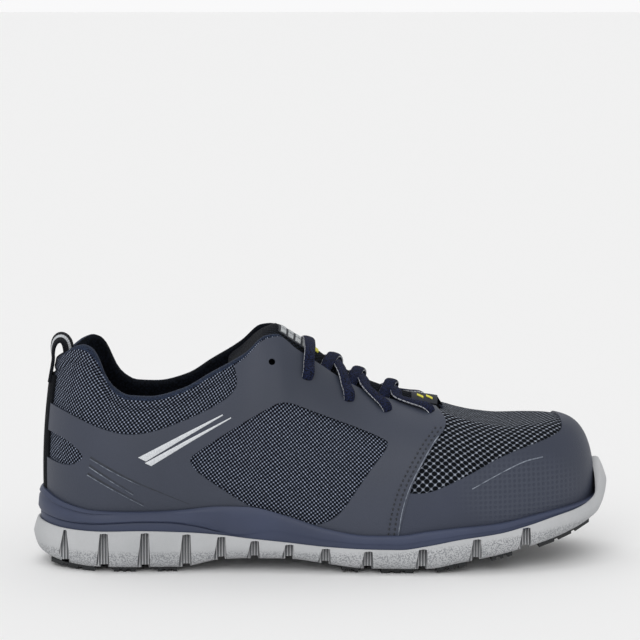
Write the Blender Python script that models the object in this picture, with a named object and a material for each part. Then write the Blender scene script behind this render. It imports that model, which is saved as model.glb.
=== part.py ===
"""Low safety sneaker for the right foot, standing empty on its sole.

Metres, +Z up. The toe points to +X, the outer side to -Y and the inner side to +Y.
The origin is on the floor, under the middle of the shoe.

The shoe is worked out from upright sections. Each section runs from the feather edge, where
the upper meets the sole, up to the edge of the collar or the throat. Sections go round the
shoe in a closed loop: toe tip, outer side, heel, inner side, and back to the toe tip.
"""

import math

import bmesh
import bpy
import numpy as np

# Driving sizes of the whole shoe
LENGTH = 0.300
BALL_WIDTH = 0.108
BACK_HEIGHT = 0.113
SOLE_HEIGHT = 0.032

# Walls, layers and clearances
WALL = 0.0022
COLLAR_PADDING = 0.0048
# How much further forward the collar dips on the inner side, as a share of LENGTH
COLLAR_SKEW = 0.015
OVERLAY = 0.0009
CLEARANCE = 0.0003
MIDSOLE_FLOOR = 0.0035
RIM = 0.0024
LIP = 0.0013
BUMPER = 0.0028
SOLE_EDGE = 0.0058
SOLE_ROUNDING = 0.0060
INSOLE_THICKNESS = 0.004
TONGUE_THICKNESS = 0.0055
TONGUE_CROWN = 0.0082
TONGUE_TIP = 0.0035

# Sole blocks and tread
GROOVE_MOUTH = 0.0078
GROOVE_TOP = 0.0026
GROOVE_DEPTH = 0.009
GROOVE_ROOF = 0.0022
CHANNEL_HEIGHT = 0.0032
CHANNEL_MOUTH = 0.0064
CHANNEL_TOP = 0.0048
TREAD_PLATE = 0.0010
TREAD_HEIGHT = 0.0025
TREAD_INSET = 0.0065
TREAD_SLOT = 0.0022

# Lacing
EYELET_RADIUS = 0.0017
EYELET_SETBACK = 0.0135
LACE_WIDTH = 0.0060
LACE_THICKNESS = 0.0026
LACE_CLEARANCE = 0.0004
TONGUE_CLEARANCE = 0.0009

# Heel webbing and pull loop
STRIP_WIDTH = 0.018
STRIP_THICKNESS = 0.0010
LOOP_WIDTH = 0.015
LOOP_THICKNESS = 0.0018
LOOP_RISE = 0.0100

# How finely the loop of sections and each section are divided
SECTION_STEPS = 3
RISE_STEPS = 7

# One row for each pair of sections, from the toe to the heel.
# along: the place on the shoe's length, from the heel at 0 to the toe at 1.
# outer, inner: the sole's half widths, as shares of BALL_WIDTH.
# edge: how far the feather edge lies inside the sole's outline, as a share of SOLE_EDGE.
# top_along, top_outer, top_inner: where the section ends, at the collar or throat.
# dome: 1 where the section arches over the foot, 0 where it is an upright wall.
# shoulder: the radius of the dome's shoulder, as a share of BALL_WIDTH.
# full: the exponent of the shoulder's curve, 2 for a circle and more for a squarer one.
# bulge: how far the section swells outwards, as a share of BALL_WIDTH.
# padding: the share of COLLAR_PADDING at the section's upper end.
SECTIONS = (
    # along outer inner edge top_along top_outer top_inner dome shoulder full bulge padding
    (1.000, -0.040, 0.040, 1.30, 0.713, -0.016, 0.016, 1.00, 0.20, 2.6, 0.000, 0.0),
    (0.984, 0.135, 0.210, 1.30, 0.711, 0.030, 0.058, 1.00, 0.21, 2.6, 0.001, 0.0),
    (0.945, 0.275, 0.340, 1.22, 0.706, 0.068, 0.100, 1.00, 0.25, 2.6, 0.003, 0.0),
    (0.872, 0.410, 0.430, 1.10, 0.696, 0.092, 0.128, 1.00, 0.34, 2.5, 0.006, 0.0),
    (0.770, 0.486, 0.476, 1.00, 0.660, 0.112, 0.142, 0.95, 0.40, 2.4, 0.010, 0.0),
    (0.660, 0.500, 0.466, 1.00, 0.600, 0.125, 0.150, 0.75, 0.40, 2.3, 0.012, 0.0),
    (0.540, 0.462, 0.385, 1.00, 0.520, 0.145, 0.168, 0.50, 0.36, 2.2, 0.012, 0.1),
    (0.420, 0.405, 0.330, 1.00, 0.420, 0.200, 0.215, 0.30, 0.30, 2.1, 0.012, 0.4),
    (0.300, 0.375, 0.335, 1.00, 0.325, 0.268, 0.262, 0.12, 0.28, 2.0, 0.014, 0.9),
    (0.180, 0.372, 0.352, 1.00, 0.200, 0.290, 0.280, 0.00, 0.28, 2.0, 0.022, 1.0),
    (0.065, 0.290, 0.285, 1.10, 0.096, 0.222, 0.220, 0.00, 0.28, 2.0, 0.020, 1.0),
    (0.000, 0.000, 0.000, 1.35, 0.0415, 0.000, 0.000, 0.00, 0.28, 2.0, 0.009, 0.75),
)

# The sole from the side. along is a share of LENGTH; the heights are shares of SOLE_HEIGHT:
# bottom of the foam blocks, seat of the midsole, lip of the outsole, top of the midsole's rim.
SOLE_SIDE = (
    # along bottom seat lip rim
    (0.000, 0.280, 0.720, 0.830, 1.350),
    (0.030, 0.150, 0.710, 0.740, 1.235),
    (0.063, 0.105, 0.700, 0.720, 1.130),
    (0.110, 0.078125, 0.710, 0.735, 1.050),
    (0.180, 0.078125, 0.722, 0.750, 1.078),
    (0.250, 0.078125, 0.700, 0.727, 1.105),
    (0.316, 0.190, 0.645, 0.672, 1.155),
    (0.367, 0.212, 0.592, 0.620, 1.128),
    (0.434, 0.212, 0.548, 0.577, 0.990),
    (0.500, 0.140, 0.500, 0.527, 0.832),
    (0.568, 0.078125, 0.486, 0.515, 0.722),
    (0.620, 0.078125, 0.492, 0.521, 0.712),
    (0.665, 0.078125, 0.540, 0.570, 0.775),
    (0.721, 0.165, 0.620, 0.652, 0.845),
    (0.787, 0.270, 0.672, 0.712, 0.875),
    (0.833, 0.360, 0.705, 0.765, 0.905),
    (0.879, 0.455, 0.745, 0.862, 0.950),
    (0.928, 0.585, 0.785, 0.940, 0.985),
    (0.955, 0.680, 0.810, 1.060, 1.000),
    (0.970, 0.740, 0.825, 1.300, 1.015),
    (0.984, 0.815, 0.845, 1.540, 1.030),
    (1.000, 0.930, 0.860, 1.630, 1.040),
)

# The top of the shoe from the side: collar, throat edge, then the ridge of the vamp.
# along is a share of LENGTH and height a share of BACK_HEIGHT.
TOPLINE = (
    (0.000, 0.910),
    (0.041, 0.938),
    (0.055, 0.966),
    (0.069, 0.990),
    (0.083, 0.999),
    (0.097, 0.988),
    (0.109, 0.960),
    (0.119, 0.915),
    (0.128, 0.860),
    (0.141, 0.812),
    (0.164, 0.779),
    (0.200, 0.774),
    (0.255, 0.808),
    (0.300, 0.872),
    (0.360, 0.959),
    (0.398, 1.044),
    (0.418, 1.052),
    (0.448, 0.990),
    (0.483, 0.925),
    (0.529, 0.838),
    (0.577, 0.772),
    (0.633, 0.724),
    (0.690, 0.700),
    (0.715, 0.684),
    (0.745, 0.659),
    (0.775, 0.641),
    (0.818, 0.629),
    (0.871, 0.634),
    (0.910, 0.640),
    (1.000, 0.640),
)

# Outlines seen from the side, as (along, height) in shares of LENGTH and BACK_HEIGHT.
QUARTER_OUTLINE = (
    (0.704, 0.630),
    (0.681, 0.700),
    (0.677, 1.300),
    (0.343, 1.300),
    (0.342, 0.942),
    (0.351, 0.850),
    (0.337, 0.790),
    (0.287, 0.716),
    (0.212, 0.640),
    (0.163, 0.622),
    (0.115, 0.654),
    (0.050, 0.731),
    (-0.050, 0.790),
    (-0.050, 0.120),
    (0.616, 0.080),
    (0.617, 0.177),
    (0.630, 0.380),
    (0.666, 0.545),
)
SIDE_WINDOW = (
    (0.258, 0.500),
    (0.290, 0.568),
    (0.400, 0.742),
    (0.428, 0.774),
    (0.471, 0.728),
    (0.598, 0.602),
    (0.605, 0.570),
    (0.566, 0.451),
    (0.501, 0.190),
    (0.395, 0.255),
    (0.318, 0.380),
)
HEEL_WINDOW = (
    (-0.050, 0.640),
    (0.028, 0.618),
    (0.050, 0.606),
    (0.072, 0.574),
    (0.090, 0.528),
    (0.080, 0.495),
    (0.065, 0.478),
    (0.045, 0.478),
    (-0.050, 0.540),
)
TOE_OUTLINE = (
    (0.621, -0.100),
    (0.621, 0.080),
    (0.622, 0.178),
    (0.6345, 0.366),
    (0.650, 0.360),
    (0.674, 0.369),
    (0.714, 0.414),
    (0.747, 0.453),
    (0.784, 0.503),
    (0.828, 0.542),
    (0.870, 0.569),
    (0.900, 0.592),
    (0.914, 0.618),
    (0.915, 0.900),
    (1.100, 0.900),
    (1.100, -0.100),
)
WINDOW_CORNER = 0.0035

# The grooves between the blocks of the sole, and where the rubber treads start and stop,
# all as shares of LENGTH
GROOVES = (0.056, 0.122, 0.191, 0.261, 0.320, 0.376, 0.434, 0.495, 0.566, 0.657, 0.749, 0.835)
TREADS = (
    # start stop
    (0.031, 0.106),
    (0.138, 0.175),
    (0.213, 0.245),
    (0.523, 0.550),
    (0.589, 0.643),
    (0.683, 0.733),
    (0.777, 0.813),
    (0.861, 0.958),
)

# The eyelets from the top one down: the place of each on the throat edge, where its lace
# crosses that edge, and where the same lace reaches the opposite edge, as shares of LENGTH
EYELETS = (
    # place leaves lands
    (0.408, 0.412, 0.412),
    (0.463, 0.468, 0.468),
    (0.530, 0.527, 0.503),
    (0.588, 0.568, 0.546),
    (0.652, 0.626, 0.601),
)

INK = (0.045, 0.055, 0.085, 1.0)
SLATE = (0.065, 0.080, 0.110, 1.0)
NAVY = (0.070, 0.085, 0.130, 1.0)
GREY = (0.560, 0.560, 0.570, 1.0)
BLACK = (0.012, 0.013, 0.016, 1.0)


def smooth_loop(values, steps):
    """Samples of the smooth closed curve through values, steps of them for each value."""
    count = len(values)
    identity = np.eye(count)
    pull = (4 * identity + np.roll(identity, 1, 0) + np.roll(identity, -1, 0)) / 6
    controls = np.linalg.solve(pull, np.asarray(values, float))
    place = np.arange(count * steps) / steps
    index = np.floor(place).astype(int)
    f = place - index
    weights = (
        (1 - f) ** 3 / 6,
        (3 * f**3 - 6 * f**2 + 4) / 6,
        (-3 * f**3 + 3 * f**2 + 3 * f + 1) / 6,
        f**3 / 6,
    )
    return sum(w * controls[(index + k) % count] for w, k in zip(weights, (-1, 0, 1, 2)))


def smooth_table(rows, column, x):
    """The value of a table's column at x, on a curve that never overshoots its rows."""
    table = np.array(rows, float)
    xs, ys = table[:, 0], table[:, column]
    step = np.diff(xs)
    slope = np.diff(ys) / step
    before, after = slope[:-1], slope[1:]
    same_way = before * after > 0
    safe = np.where(same_way, before * after, 1.0)
    middle = np.where(same_way, 2 * safe / np.where(same_way, before + after, 1.0), 0.0)
    tangent = np.concatenate(([slope[0]], middle, [slope[-1]]))
    x = np.clip(x, xs[0], xs[-1])
    i = np.clip(np.searchsorted(xs, x, side="right") - 1, 0, len(step) - 1)
    h = step[i]
    f = (x - xs[i]) / h
    return (
        (2 * f**3 - 3 * f**2 + 1) * ys[i]
        + (f**3 - 2 * f**2 + f) * h * tangent[i]
        + (3 * f**2 - 2 * f**3) * ys[i + 1]
        + (f**3 - f**2) * h * tangent[i + 1]
    )


def along_x(share):
    return (np.asarray(share) - 0.5) * LENGTH


def share_of(x):
    return np.asarray(x) / LENGTH + 0.5


def sole_height(column, x):
    return smooth_table(SOLE_SIDE, column, share_of(x)) * SOLE_HEIGHT


def bottom_z(x):
    return sole_height(1, x)


def seat_z(x):
    return sole_height(2, x)


def lip_z(x):
    return sole_height(3, x)


def rim_z(x):
    return sole_height(4, x)


def floor_z(x):
    return seat_z(x) + MIDSOLE_FLOOR


def topline_z(x):
    return smooth_table(TOPLINE, 1, share_of(x)) * BACK_HEIGHT


def around(column_outer, column_inner, steps):
    """A column pair of SECTIONS as a smooth loop: toe tip, outer side, heel, inner side."""
    outer = [row[column_outer] for row in SECTIONS]
    inner = [row[column_inner] for row in SECTIONS]
    return smooth_loop(outer + inner[-2:0:-1], steps)


def across(column_outer, column_inner, steps):
    """Like around, for half widths: the outer side is negative Y and the inner positive."""
    outer = [-row[column_outer] for row in SECTIONS]
    inner = [row[column_inner] for row in SECTIONS]
    return smooth_loop(outer + inner[-2:0:-1], steps) * BALL_WIDTH


def outward_of(plan):
    """Unit vectors pointing out of a closed plan outline."""
    run = np.roll(plan, -1, 0) - np.roll(plan, 1, 0)
    out = np.stack((-run[:, 1], run[:, 0]), 1)
    out /= np.linalg.norm(out, axis=1)[:, None]
    if (out * (plan - plan.mean(0))).sum() < 0:
        out = -out
    return out


class Form:
    """The shoe's form over its last, as upright sections that all other pieces follow."""

    def __init__(self, steps):
        wide = across(1, 2, steps)
        middle = (wide.max() + wide.min()) / 2
        self.sole = np.stack((along_x(around(0, 0, steps)), wide - middle), 1)
        self.outward = outward_of(self.sole)
        edge = around(3, 3, steps)[:, None] * SOLE_EDGE
        self.foot = self.sole - self.outward * edge
        self.top = np.stack((along_x(around(4, 4, steps)), across(5, 6, steps) - middle), 1)
        self.dome = np.clip(around(7, 7, steps), 0, 1)
        self.shoulder = around(8, 8, steps) * BALL_WIDTH
        self.full = around(9, 9, steps)
        self.bulge = around(10, 10, steps) * BALL_WIDTH
        self.padding = np.clip(around(11, 11, steps), 0, 1) * COLLAR_PADDING
        inside = 0.5 + 0.5 * np.clip(self.top[:, 1] / (0.2 * BALL_WIDTH), -1, 1)
        rear = np.clip((0.36 - share_of(self.top[:, 0])) / 0.1, 0, 1)
        self.skew = COLLAR_SKEW * LENGTH * inside * rear
        self.count = len(self.sole)
        self.floor = floor_z(self.foot[:, 0])
        self.inward = self.top - self.foot
        self.reach = np.linalg.norm(self.inward, axis=1)
        self.inward /= self.reach[:, None]

    def base(self, t):
        """Points of all sections at the share t of the way up, on the outer skin."""
        t = np.broadcast_to(np.asarray(t, float), (self.count,))
        rise_to = topline_z(self.top[:, 0] - self.skew) - self.floor
        radius = np.minimum(self.shoulder, self.reach)
        flat = self.reach - radius
        turn = (rise_to + radius) / (rise_to + radius + flat)
        angle = np.clip(t / turn, 0, 1) * math.pi / 2
        beyond = np.clip((t - turn) / np.maximum(1 - turn, 1e-6), 0, 1)
        power = 2 / self.full
        dome_in = radius * (1 - np.cos(angle).clip(0) ** power) + flat * beyond
        dome_up = np.sin(angle).clip(0) ** power
        wall_in = self.reach * t**2.0
        inward = self.dome * dome_in + (1 - self.dome) * wall_in
        up = self.dome * dome_up + (1 - self.dome) * t
        swell = self.bulge * np.sin(math.pi * t)
        plan = self.foot + self.inward * inward[:, None] + self.outward * swell[:, None]
        z = self.floor + up * (topline_z(plan[:, 0] - self.skew) - self.floor)
        return np.column_stack((plan, z))

    def normals(self, t):
        """Unit vectors out of the skin, and unit vectors up along it, at the share t."""
        t = np.broadcast_to(np.asarray(t, float), (self.count,))
        here = self.base(t)
        small = 0.01
        up = self.base(np.minimum(t + small, 1)) - self.base(np.maximum(t - small, 0))
        run = np.roll(here, -1, 0) - np.roll(here, 1, 0)
        out = np.cross(run, up)
        out /= np.linalg.norm(out, axis=1)[:, None]
        if (out[:, :2] * self.outward).sum() < 0:
            out = -out
        return out, up / np.linalg.norm(up, axis=1)[:, None]

    def skin(self, t, lift=0.0):
        """A ring of the skin, lifted outwards along its own normals."""
        lift = np.broadcast_to(np.asarray(lift, float), (self.count,))
        return self.base(t) + self.normals(t)[0] * lift[:, None]

    def share_at(self, z):
        """The share t at which each section reaches the height z."""
        shares = np.linspace(0, 1, 121)
        heights = np.array([self.base(t)[:, 2] for t in shares])
        z = np.broadcast_to(np.asarray(z, float), (self.count,))
        return np.array(
            [np.interp(z[k], np.maximum.accumulate(heights[:, k]), shares) for k in range(self.count)]
        )

    def wall_ring(self, z, lift):
        """A ring at the height z, held off the skin by lift in plan."""
        lift = np.broadcast_to(np.asarray(lift, float), (self.count,))
        z = np.broadcast_to(np.asarray(z, float), (self.count,))
        plan = self.base(self.share_at(z))[:, :2] + self.outward * lift[:, None]
        return np.column_stack((plan, z))

    def sole_ring(self, z, inset):
        """A ring at the height z, inside the sole's outline by inset."""
        inset = np.broadcast_to(np.asarray(inset, float), (self.count,))
        z = np.broadcast_to(np.asarray(z, float), (self.count,))
        return np.column_stack((self.sole - self.outward * inset[:, None], z))


FORM = Form(SECTION_STEPS)

# The way the tongue and the laces arch over the throat: up, and a little forwards
CREST_WAY = np.array((0.25, 0.0, 0.97))


def wall_at(t):
    """Thickness of the upper's wall at the share t: padded towards the collar."""
    return WALL + FORM.padding * np.clip((t - 0.5) / 0.35, 0, 1) ** 2


def clear_scene():
    for item in list(bpy.data.objects):
        bpy.data.objects.remove(item, do_unlink=True)


def collection(name):
    made = bpy.data.collections.new(name)
    bpy.context.scene.collection.children.link(made)
    return made


def material(name, color, roughness, metallic=0.0):
    made = bpy.data.materials.new(name)
    made.use_nodes = True
    shader = made.node_tree.nodes["Principled BSDF"]
    shader.inputs["Base Color"].default_value = color
    shader.inputs["Roughness"].default_value = roughness
    shader.inputs["Metallic"].default_value = metallic
    return made


def object_from(name, mesh_builder, group, finish=None):
    """A new object from a bmesh, with its faces turned outwards."""
    bmesh.ops.recalc_face_normals(mesh_builder, faces=mesh_builder.faces)
    mesh = bpy.data.meshes.new(name)
    mesh_builder.to_mesh(mesh)
    mesh_builder.free()
    made = bpy.data.objects.new(name, mesh)
    if finish:
        mesh.materials.append(finish)
        mesh.shade_smooth()
        mesh.set_sharp_from_angle(angle=math.radians(40))
    group.objects.link(made)
    return made


def add_ring(mesh_builder, ring):
    return [mesh_builder.verts.new(point) for point in ring]


def join_rings(mesh_builder, lower, upper, turned=False):
    """Triangles between two rings; turned takes the other diagonal of each pair."""
    count = len(lower)
    for i in range(count):
        j = (i + 1) % count
        if turned:
            mesh_builder.faces.new((lower[i], lower[j], upper[i]))
            mesh_builder.faces.new((lower[j], upper[j], upper[i]))
        else:
            mesh_builder.faces.new((lower[i], lower[j], upper[j]))
            mesh_builder.faces.new((lower[i], upper[j], upper[i]))


def close_across(mesh_builder, ring):
    """Closes a loop of sections with strips from its outer side to its inner side."""
    count = len(ring)
    half = count // 2
    mesh_builder.faces.new((ring[0], ring[1], ring[count - 1]))
    for i in range(1, half - 1):
        mesh_builder.faces.new((ring[i], ring[i + 1], ring[count - i - 1], ring[count - i]))
    mesh_builder.faces.new((ring[half - 1], ring[half], ring[half + 1]))


def body_of_rings(rings):
    """A closed solid through rings, closed across its first and its last ring."""
    made = bmesh.new()
    loops = [add_ring(made, ring) for ring in rings]
    for lower, upper in zip(loops, loops[1:]):
        join_rings(made, lower, upper)
    close_across(made, loops[0])
    close_across(made, loops[-1])
    return made


def hollow_of_rings(outside, inside):
    """A closed wall up through the rings outside and down through those inside.

    Both skins are split along the same diagonals, so that layers lie evenly on each other.
    """
    made = bmesh.new()
    loops = [add_ring(made, ring) for ring in outside + inside]
    for number, (lower, upper) in enumerate(zip(loops, loops[1:] + loops[:1])):
        join_rings(made, lower, upper, turned=number >= len(outside))
    return made


def tube_of_rings(rings):
    """A closed solid through rings, with one flat face at each end."""
    made = bmesh.new()
    loops = [add_ring(made, ring) for ring in rings]
    for lower, upper in zip(loops, loops[1:]):
        join_rings(made, lower, upper)
    made.faces.new(loops[0])
    made.faces.new(loops[-1])
    return made


def prism(name, outline, low_y, high_y, group, corner=0.0):
    """A cutter with a side-view outline, reaching from low_y to high_y."""
    made = bmesh.new()
    loop = [made.verts.new((along_x(a), low_y, h * BACK_HEIGHT)) for a, h in outline]
    face = made.faces.new(loop)
    if corner:
        bmesh.ops.bevel(
            made,
            geom=made.verts[:],
            offset=corner,
            segments=3,
            profile=0.5,
            affect="VERTICES",
            clamp_overlap=True,
            material=-1,
        )
        face = made.faces[:][0]
    walls = bmesh.ops.extrude_face_region(made, geom=[face])
    moved = [item for item in walls["geom"] if isinstance(item, bmesh.types.BMVert)]
    bmesh.ops.translate(made, verts=moved, vec=(0, high_y - low_y, 0))
    cutter = object_from(name, made, group)
    cutter.hide_render = True
    cutter.display_type = "WIRE"
    return cutter


def cut(target, cutter, operation="DIFFERENCE"):
    modifier = target.modifiers.new(cutter.name, "BOOLEAN")
    modifier.object = cutter
    modifier.operation = operation
    modifier.solver = "EXACT"


def eyelet_frames(side):
    """Place, outward normal and upward tangent of each eyelet; side -1 is the outer side."""
    half = FORM.count // 2
    picks = range(1, half) if side < 0 else range(FORM.count - 1, half, -1)
    rows = list(picks)
    edge = share_of(FORM.top[rows, 0])
    shares = np.linspace(0, 1, 101)
    frames = []
    for place, _, _ in EYELETS:
        nearest = np.interp(-place, -edge, np.arange(len(rows)))
        low = int(math.floor(nearest))
        high = min(low + 1, len(rows) - 1)
        mix = nearest - low
        path = np.array(
            [(1 - mix) * FORM.base(t)[rows[low]] + mix * FORM.base(t)[rows[high]] for t in shares]
        )
        from_edge = np.concatenate(([0], np.cumsum(np.linalg.norm(np.diff(path[::-1], axis=0), axis=1))))
        share = float(np.interp(EYELET_SETBACK, from_edge, shares[::-1]))
        out, up = FORM.normals(share)
        mid = (1 - mix) * FORM.base(share)[rows[low]] + mix * FORM.base(share)[rows[high]]
        normal = (1 - mix) * out[rows[low]] + mix * out[rows[high]]
        rise = (1 - mix) * up[rows[low]] + mix * up[rows[high]]
        frames.append((mid, normal / np.linalg.norm(normal), rise / np.linalg.norm(rise), share, (rows[low], rows[high], mix)))
    return frames


def eyelet_cutter(side, group):
    """Short round pins through the wall and the overlay, one for each eyelet."""
    made = bmesh.new()
    sides = 8
    reach = WALL + COLLAR_PADDING + OVERLAY + 0.004
    for mid, normal, rise, _, _ in eyelet_frames(side):
        beside = np.cross(normal, rise)
        rings = []
        for depth in (-reach, reach):
            rings.append(
                add_ring(
                    made,
                    [
                        mid
                        + normal * depth
                        + (math.cos(a) * rise + math.sin(a) * beside) * EYELET_RADIUS
                        for a in np.arange(sides) * 2 * math.pi / sides
                    ],
                )
            )
        join_rings(made, rings[0], rings[1])
        made.faces.new(rings[0])
        made.faces.new(rings[1])
    cutter = object_from("eyelet_pins_" + ("outer" if side < 0 else "inner"), made, group)
    cutter.hide_render = True
    cutter.display_type = "WIRE"
    return cutter


def build_upper(parts, pins):
    shares = np.linspace(0, 1, RISE_STEPS + 1)
    outside = [FORM.skin(t) for t in shares]
    inside = [FORM.skin(t, -wall_at(t)) for t in shares[::-1]]
    wall = wall_at(1.0)
    rim = FORM.skin(1.0, -wall / 2) + FORM.normals(1.0)[1] * (wall * 0.32)[:, None]
    upper = object_from(
        "upper", hollow_of_rings(outside + [rim], inside), parts, material("mesh fabric", INK, 0.85)
    )
    for pin in pins:
        cut(upper, pin)
    return upper


def overlay_shell(low, high):
    """A thin wall just off the upper's skin, from the share low to the share high."""
    shares = np.linspace(0, 1, RISE_STEPS + 1)
    shares = np.concatenate(([low], shares[(shares > low + 0.02) & (shares < high - 0.02)], [high]))
    near = CLEARANCE * 1.3
    outside = [FORM.skin(t, near + OVERLAY) for t in shares]
    inside = [FORM.skin(t, near) for t in shares[::-1]]
    return hollow_of_rings(outside, inside)


def build_overlays(parts, cutters, pins):
    smooth = material("smooth overlay", SLATE, 0.55)
    far = BALL_WIDTH
    toe = object_from("toe_overlay", overlay_shell(0.02, 0.92), parts, smooth)
    cut(toe, prism("toe_outline", TOE_OUTLINE, -far, far, cutters), "INTERSECT")
    quarters = (
        ("quarter_overlay_outer", -far, -STRIP_WIDTH * 0.35, pins[0]),
        ("quarter_overlay_inner", STRIP_WIDTH * 0.35, far, pins[1]),
    )
    for name, low, high, pin in quarters:
        lifted = object_from(name, overlay_shell(0.02, 0.985), parts, smooth)
        cut(lifted, prism(name + "_outline", QUARTER_OUTLINE, low, high, cutters), "INTERSECT")
        for label, window in (("side", SIDE_WINDOW), ("heel", HEEL_WINDOW)):
            cutter = prism(f"{name}_{label}_window", window, -far, far, cutters, WINDOW_CORNER)
            cut(lifted, cutter)
        cut(lifted, pin)


def skin_clear():
    """How far the sole's rim and lip stay off the skin: past the overlay, with clearances."""
    return CLEARANCE * 1.3 + OVERLAY + CLEARANCE * 1.5


def build_midsole(parts):
    x = FORM.foot[:, 0]
    seat, lip, rim = seat_z(x), lip_z(x), rim_z(x)
    base = np.minimum(lip, rim - 0.0012)
    rise = rim - base
    out = skin_clear() + RIM
    swell = np.clip((rim - lip) / 0.004, 0, 1)
    rings = [
        FORM.wall_ring(seat + CLEARANCE, out),
        FORM.wall_ring(base, out),
        FORM.wall_ring(base + rise * 0.34, out - swell * 0.0002),
        FORM.wall_ring(base + rise * 0.42, out + swell * 0.0007),
        FORM.wall_ring(base + rise * 0.72, out + swell * 0.0002),
        FORM.wall_ring(rim, out - RIM * 0.45),
        FORM.wall_ring(rim, skin_clear()),
        FORM.wall_ring(FORM.floor - CLEARANCE, skin_clear()),
    ]
    return object_from("midsole", body_of_rings(rings), parts, material("navy foam", NAVY, 0.6))


def groove_cutters(cutters):
    """Wedges that part the blocks at both sides, and shallow channels across the bottom."""
    wedges = bmesh.new()
    channels = bmesh.new()
    half = FORM.count // 2
    xs = FORM.sole[: half + 1, 0]
    outer = FORM.sole[: half + 1, 1]
    inner = FORM.sole[np.r_[0, FORM.count - 1 : half - 1 : -1], 1]
    low = -SOLE_HEIGHT
    for share in GROOVES:
        x = float(along_x(share))
        roof = float(lip_z(x)) - GROOVE_ROOF
        mouth, top = GROOVE_MOUTH / 2, GROOVE_TOP / 2
        profile = ((-mouth, low), (mouth, low), (mouth, float(bottom_z(x))), (top, roof), (-top, roof), (-mouth, float(bottom_z(x))))
        for edge, way in ((outer, -1), (inner, 1)):
            side = float(np.interp(-x, -xs, edge))
            ends = (side - way * GROOVE_DEPTH, side + way * GROOVE_DEPTH)
            rings = [add_ring(wedges, [(x + dx, y, z) for dx, z in profile]) for y in ends]
            join_rings(wedges, rings[0], rings[1])
            wedges.faces.new(rings[0])
            wedges.faces.new(rings[1])
        ceiling = float(bottom_z(x)) + CHANNEL_HEIGHT
        wide, narrow = CHANNEL_MOUTH / 2, CHANNEL_TOP / 2
        profile = ((-wide, 1.2 * low), (wide, 1.2 * low), (narrow, ceiling), (-narrow, ceiling))
        rings = [add_ring(channels, [(x + dx, y, z) for dx, z in profile]) for y in (-BALL_WIDTH, BALL_WIDTH)]
        join_rings(channels, rings[0], rings[1])
        channels.faces.new(rings[0])
        channels.faces.new(rings[1])
    made = (object_from("cross_channels", channels, cutters), object_from("side_wedges", wedges, cutters))
    for cutter in made:
        cutter.hide_render = True
        cutter.display_type = "WIRE"
    return made


def build_outsole(parts, cutters):
    x = FORM.foot[:, 0]
    seat, lip, rim = seat_z(x), lip_z(x), rim_z(x)
    bottom = bottom_z(FORM.sole_ring(0, SOLE_ROUNDING)[:, 0])
    tall = lip - bottom
    inner = skin_clear() + RIM + CLEARANCE
    hug = np.clip((lip - rim - 0.003) / 0.012, 0, 1)
    shelf = np.maximum((seat + lip) / 2, np.where(hug > 0, rim + 0.0012, 0))
    mouth = inner * (1 - hug) + (skin_clear() + CLEARANCE) * hug
    thick = LIP * (1 - hug) + BUMPER * hug
    rings = [
        FORM.sole_ring(bottom, SOLE_ROUNDING),
        FORM.sole_ring(bottom + tall * 0.10, SOLE_ROUNDING * 0.48),
        FORM.sole_ring(bottom + tall * 0.32, SOLE_ROUNDING * 0.16),
        FORM.sole_ring(bottom + tall * 0.58, 0.0),
        FORM.wall_ring(lip, mouth + thick),
        FORM.wall_ring(lip, mouth),
        FORM.wall_ring(shelf, inner),
        FORM.wall_ring(seat, inner),
    ]
    outsole = object_from("outsole", body_of_rings(rings), parts, material("grey foam", GREY, 0.75))
    for cutter in groove_cutters(cutters):
        cut(outsole, cutter)
    return outsole


def half_widths(x, inset):
    """The sole's outer and inner edges at x, brought in by inset."""
    half = FORM.count // 2
    xs = -FORM.sole[: half + 1, 0]
    outer = np.interp(-x, xs, FORM.sole[: half + 1, 1]) + inset
    inner = np.interp(-x, xs, FORM.sole[np.r_[0, FORM.count - 1 : half - 1 : -1], 1]) - inset
    return outer, inner


def build_treads(parts, cutters):
    """Rubber pads under the blocks: a plate with lugs, slotted across and along."""
    rubber = material("black rubber", BLACK, 0.7)
    for number, (start, stop) in enumerate(TREADS, 1):
        stations = np.linspace(float(along_x(start)), float(along_x(stop)), 4)
        rings = []
        for x in stations:
            outer, inner = half_widths(x, TREAD_INSET)
            top = float(bottom_z(x)) - CLEARANCE
            low = float(bottom_z(x)) - TREAD_HEIGHT
            rings.append([(x, outer, low), (x, inner, low), (x, inner, top), (x, outer, top)])
        pad = object_from(f"tread_pad_{number}", tube_of_rings(rings), parts, rubber)
        slots = bmesh.new()
        wide = half_widths(float(np.mean(stations)), TREAD_INSET)
        for share in (1 / 3, 2 / 3):
            add_slot(slots, stations, share)
        cutter = object_from(f"tread_slots_{number}", slots, cutters)
        cutter.hide_render = True
        cutter.display_type = "WIRE"
        cut(pad, cutter)
        length_slots = bmesh.new()
        for share in (0.5,):
            y = wide[0] + (wide[1] - wide[0]) * share
            add_long_slot(length_slots, stations, y)
        cutter = object_from(f"tread_channels_{number}", length_slots, cutters)
        cutter.hide_render = True
        cutter.display_type = "WIRE"
        cut(pad, cutter)


def add_slot(made, stations, share):
    """A slot across a pad, up to the underside of its plate."""
    x = float(stations[0] + (stations[-1] - stations[0]) * share)
    rings = []
    for dx in (-TREAD_SLOT / 2, TREAD_SLOT / 2):
        roof = float(bottom_z(x + dx)) - CLEARANCE - TREAD_PLATE
        rings.append(
            add_ring(
                made,
                [
                    (x + dx, -BALL_WIDTH, -0.01),
                    (x + dx, BALL_WIDTH, -0.01),
                    (x + dx, BALL_WIDTH, roof),
                    (x + dx, -BALL_WIDTH, roof),
                ],
            )
        )
    join_rings(made, rings[0], rings[1])
    made.faces.new(rings[0])
    made.faces.new(rings[1])


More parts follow.
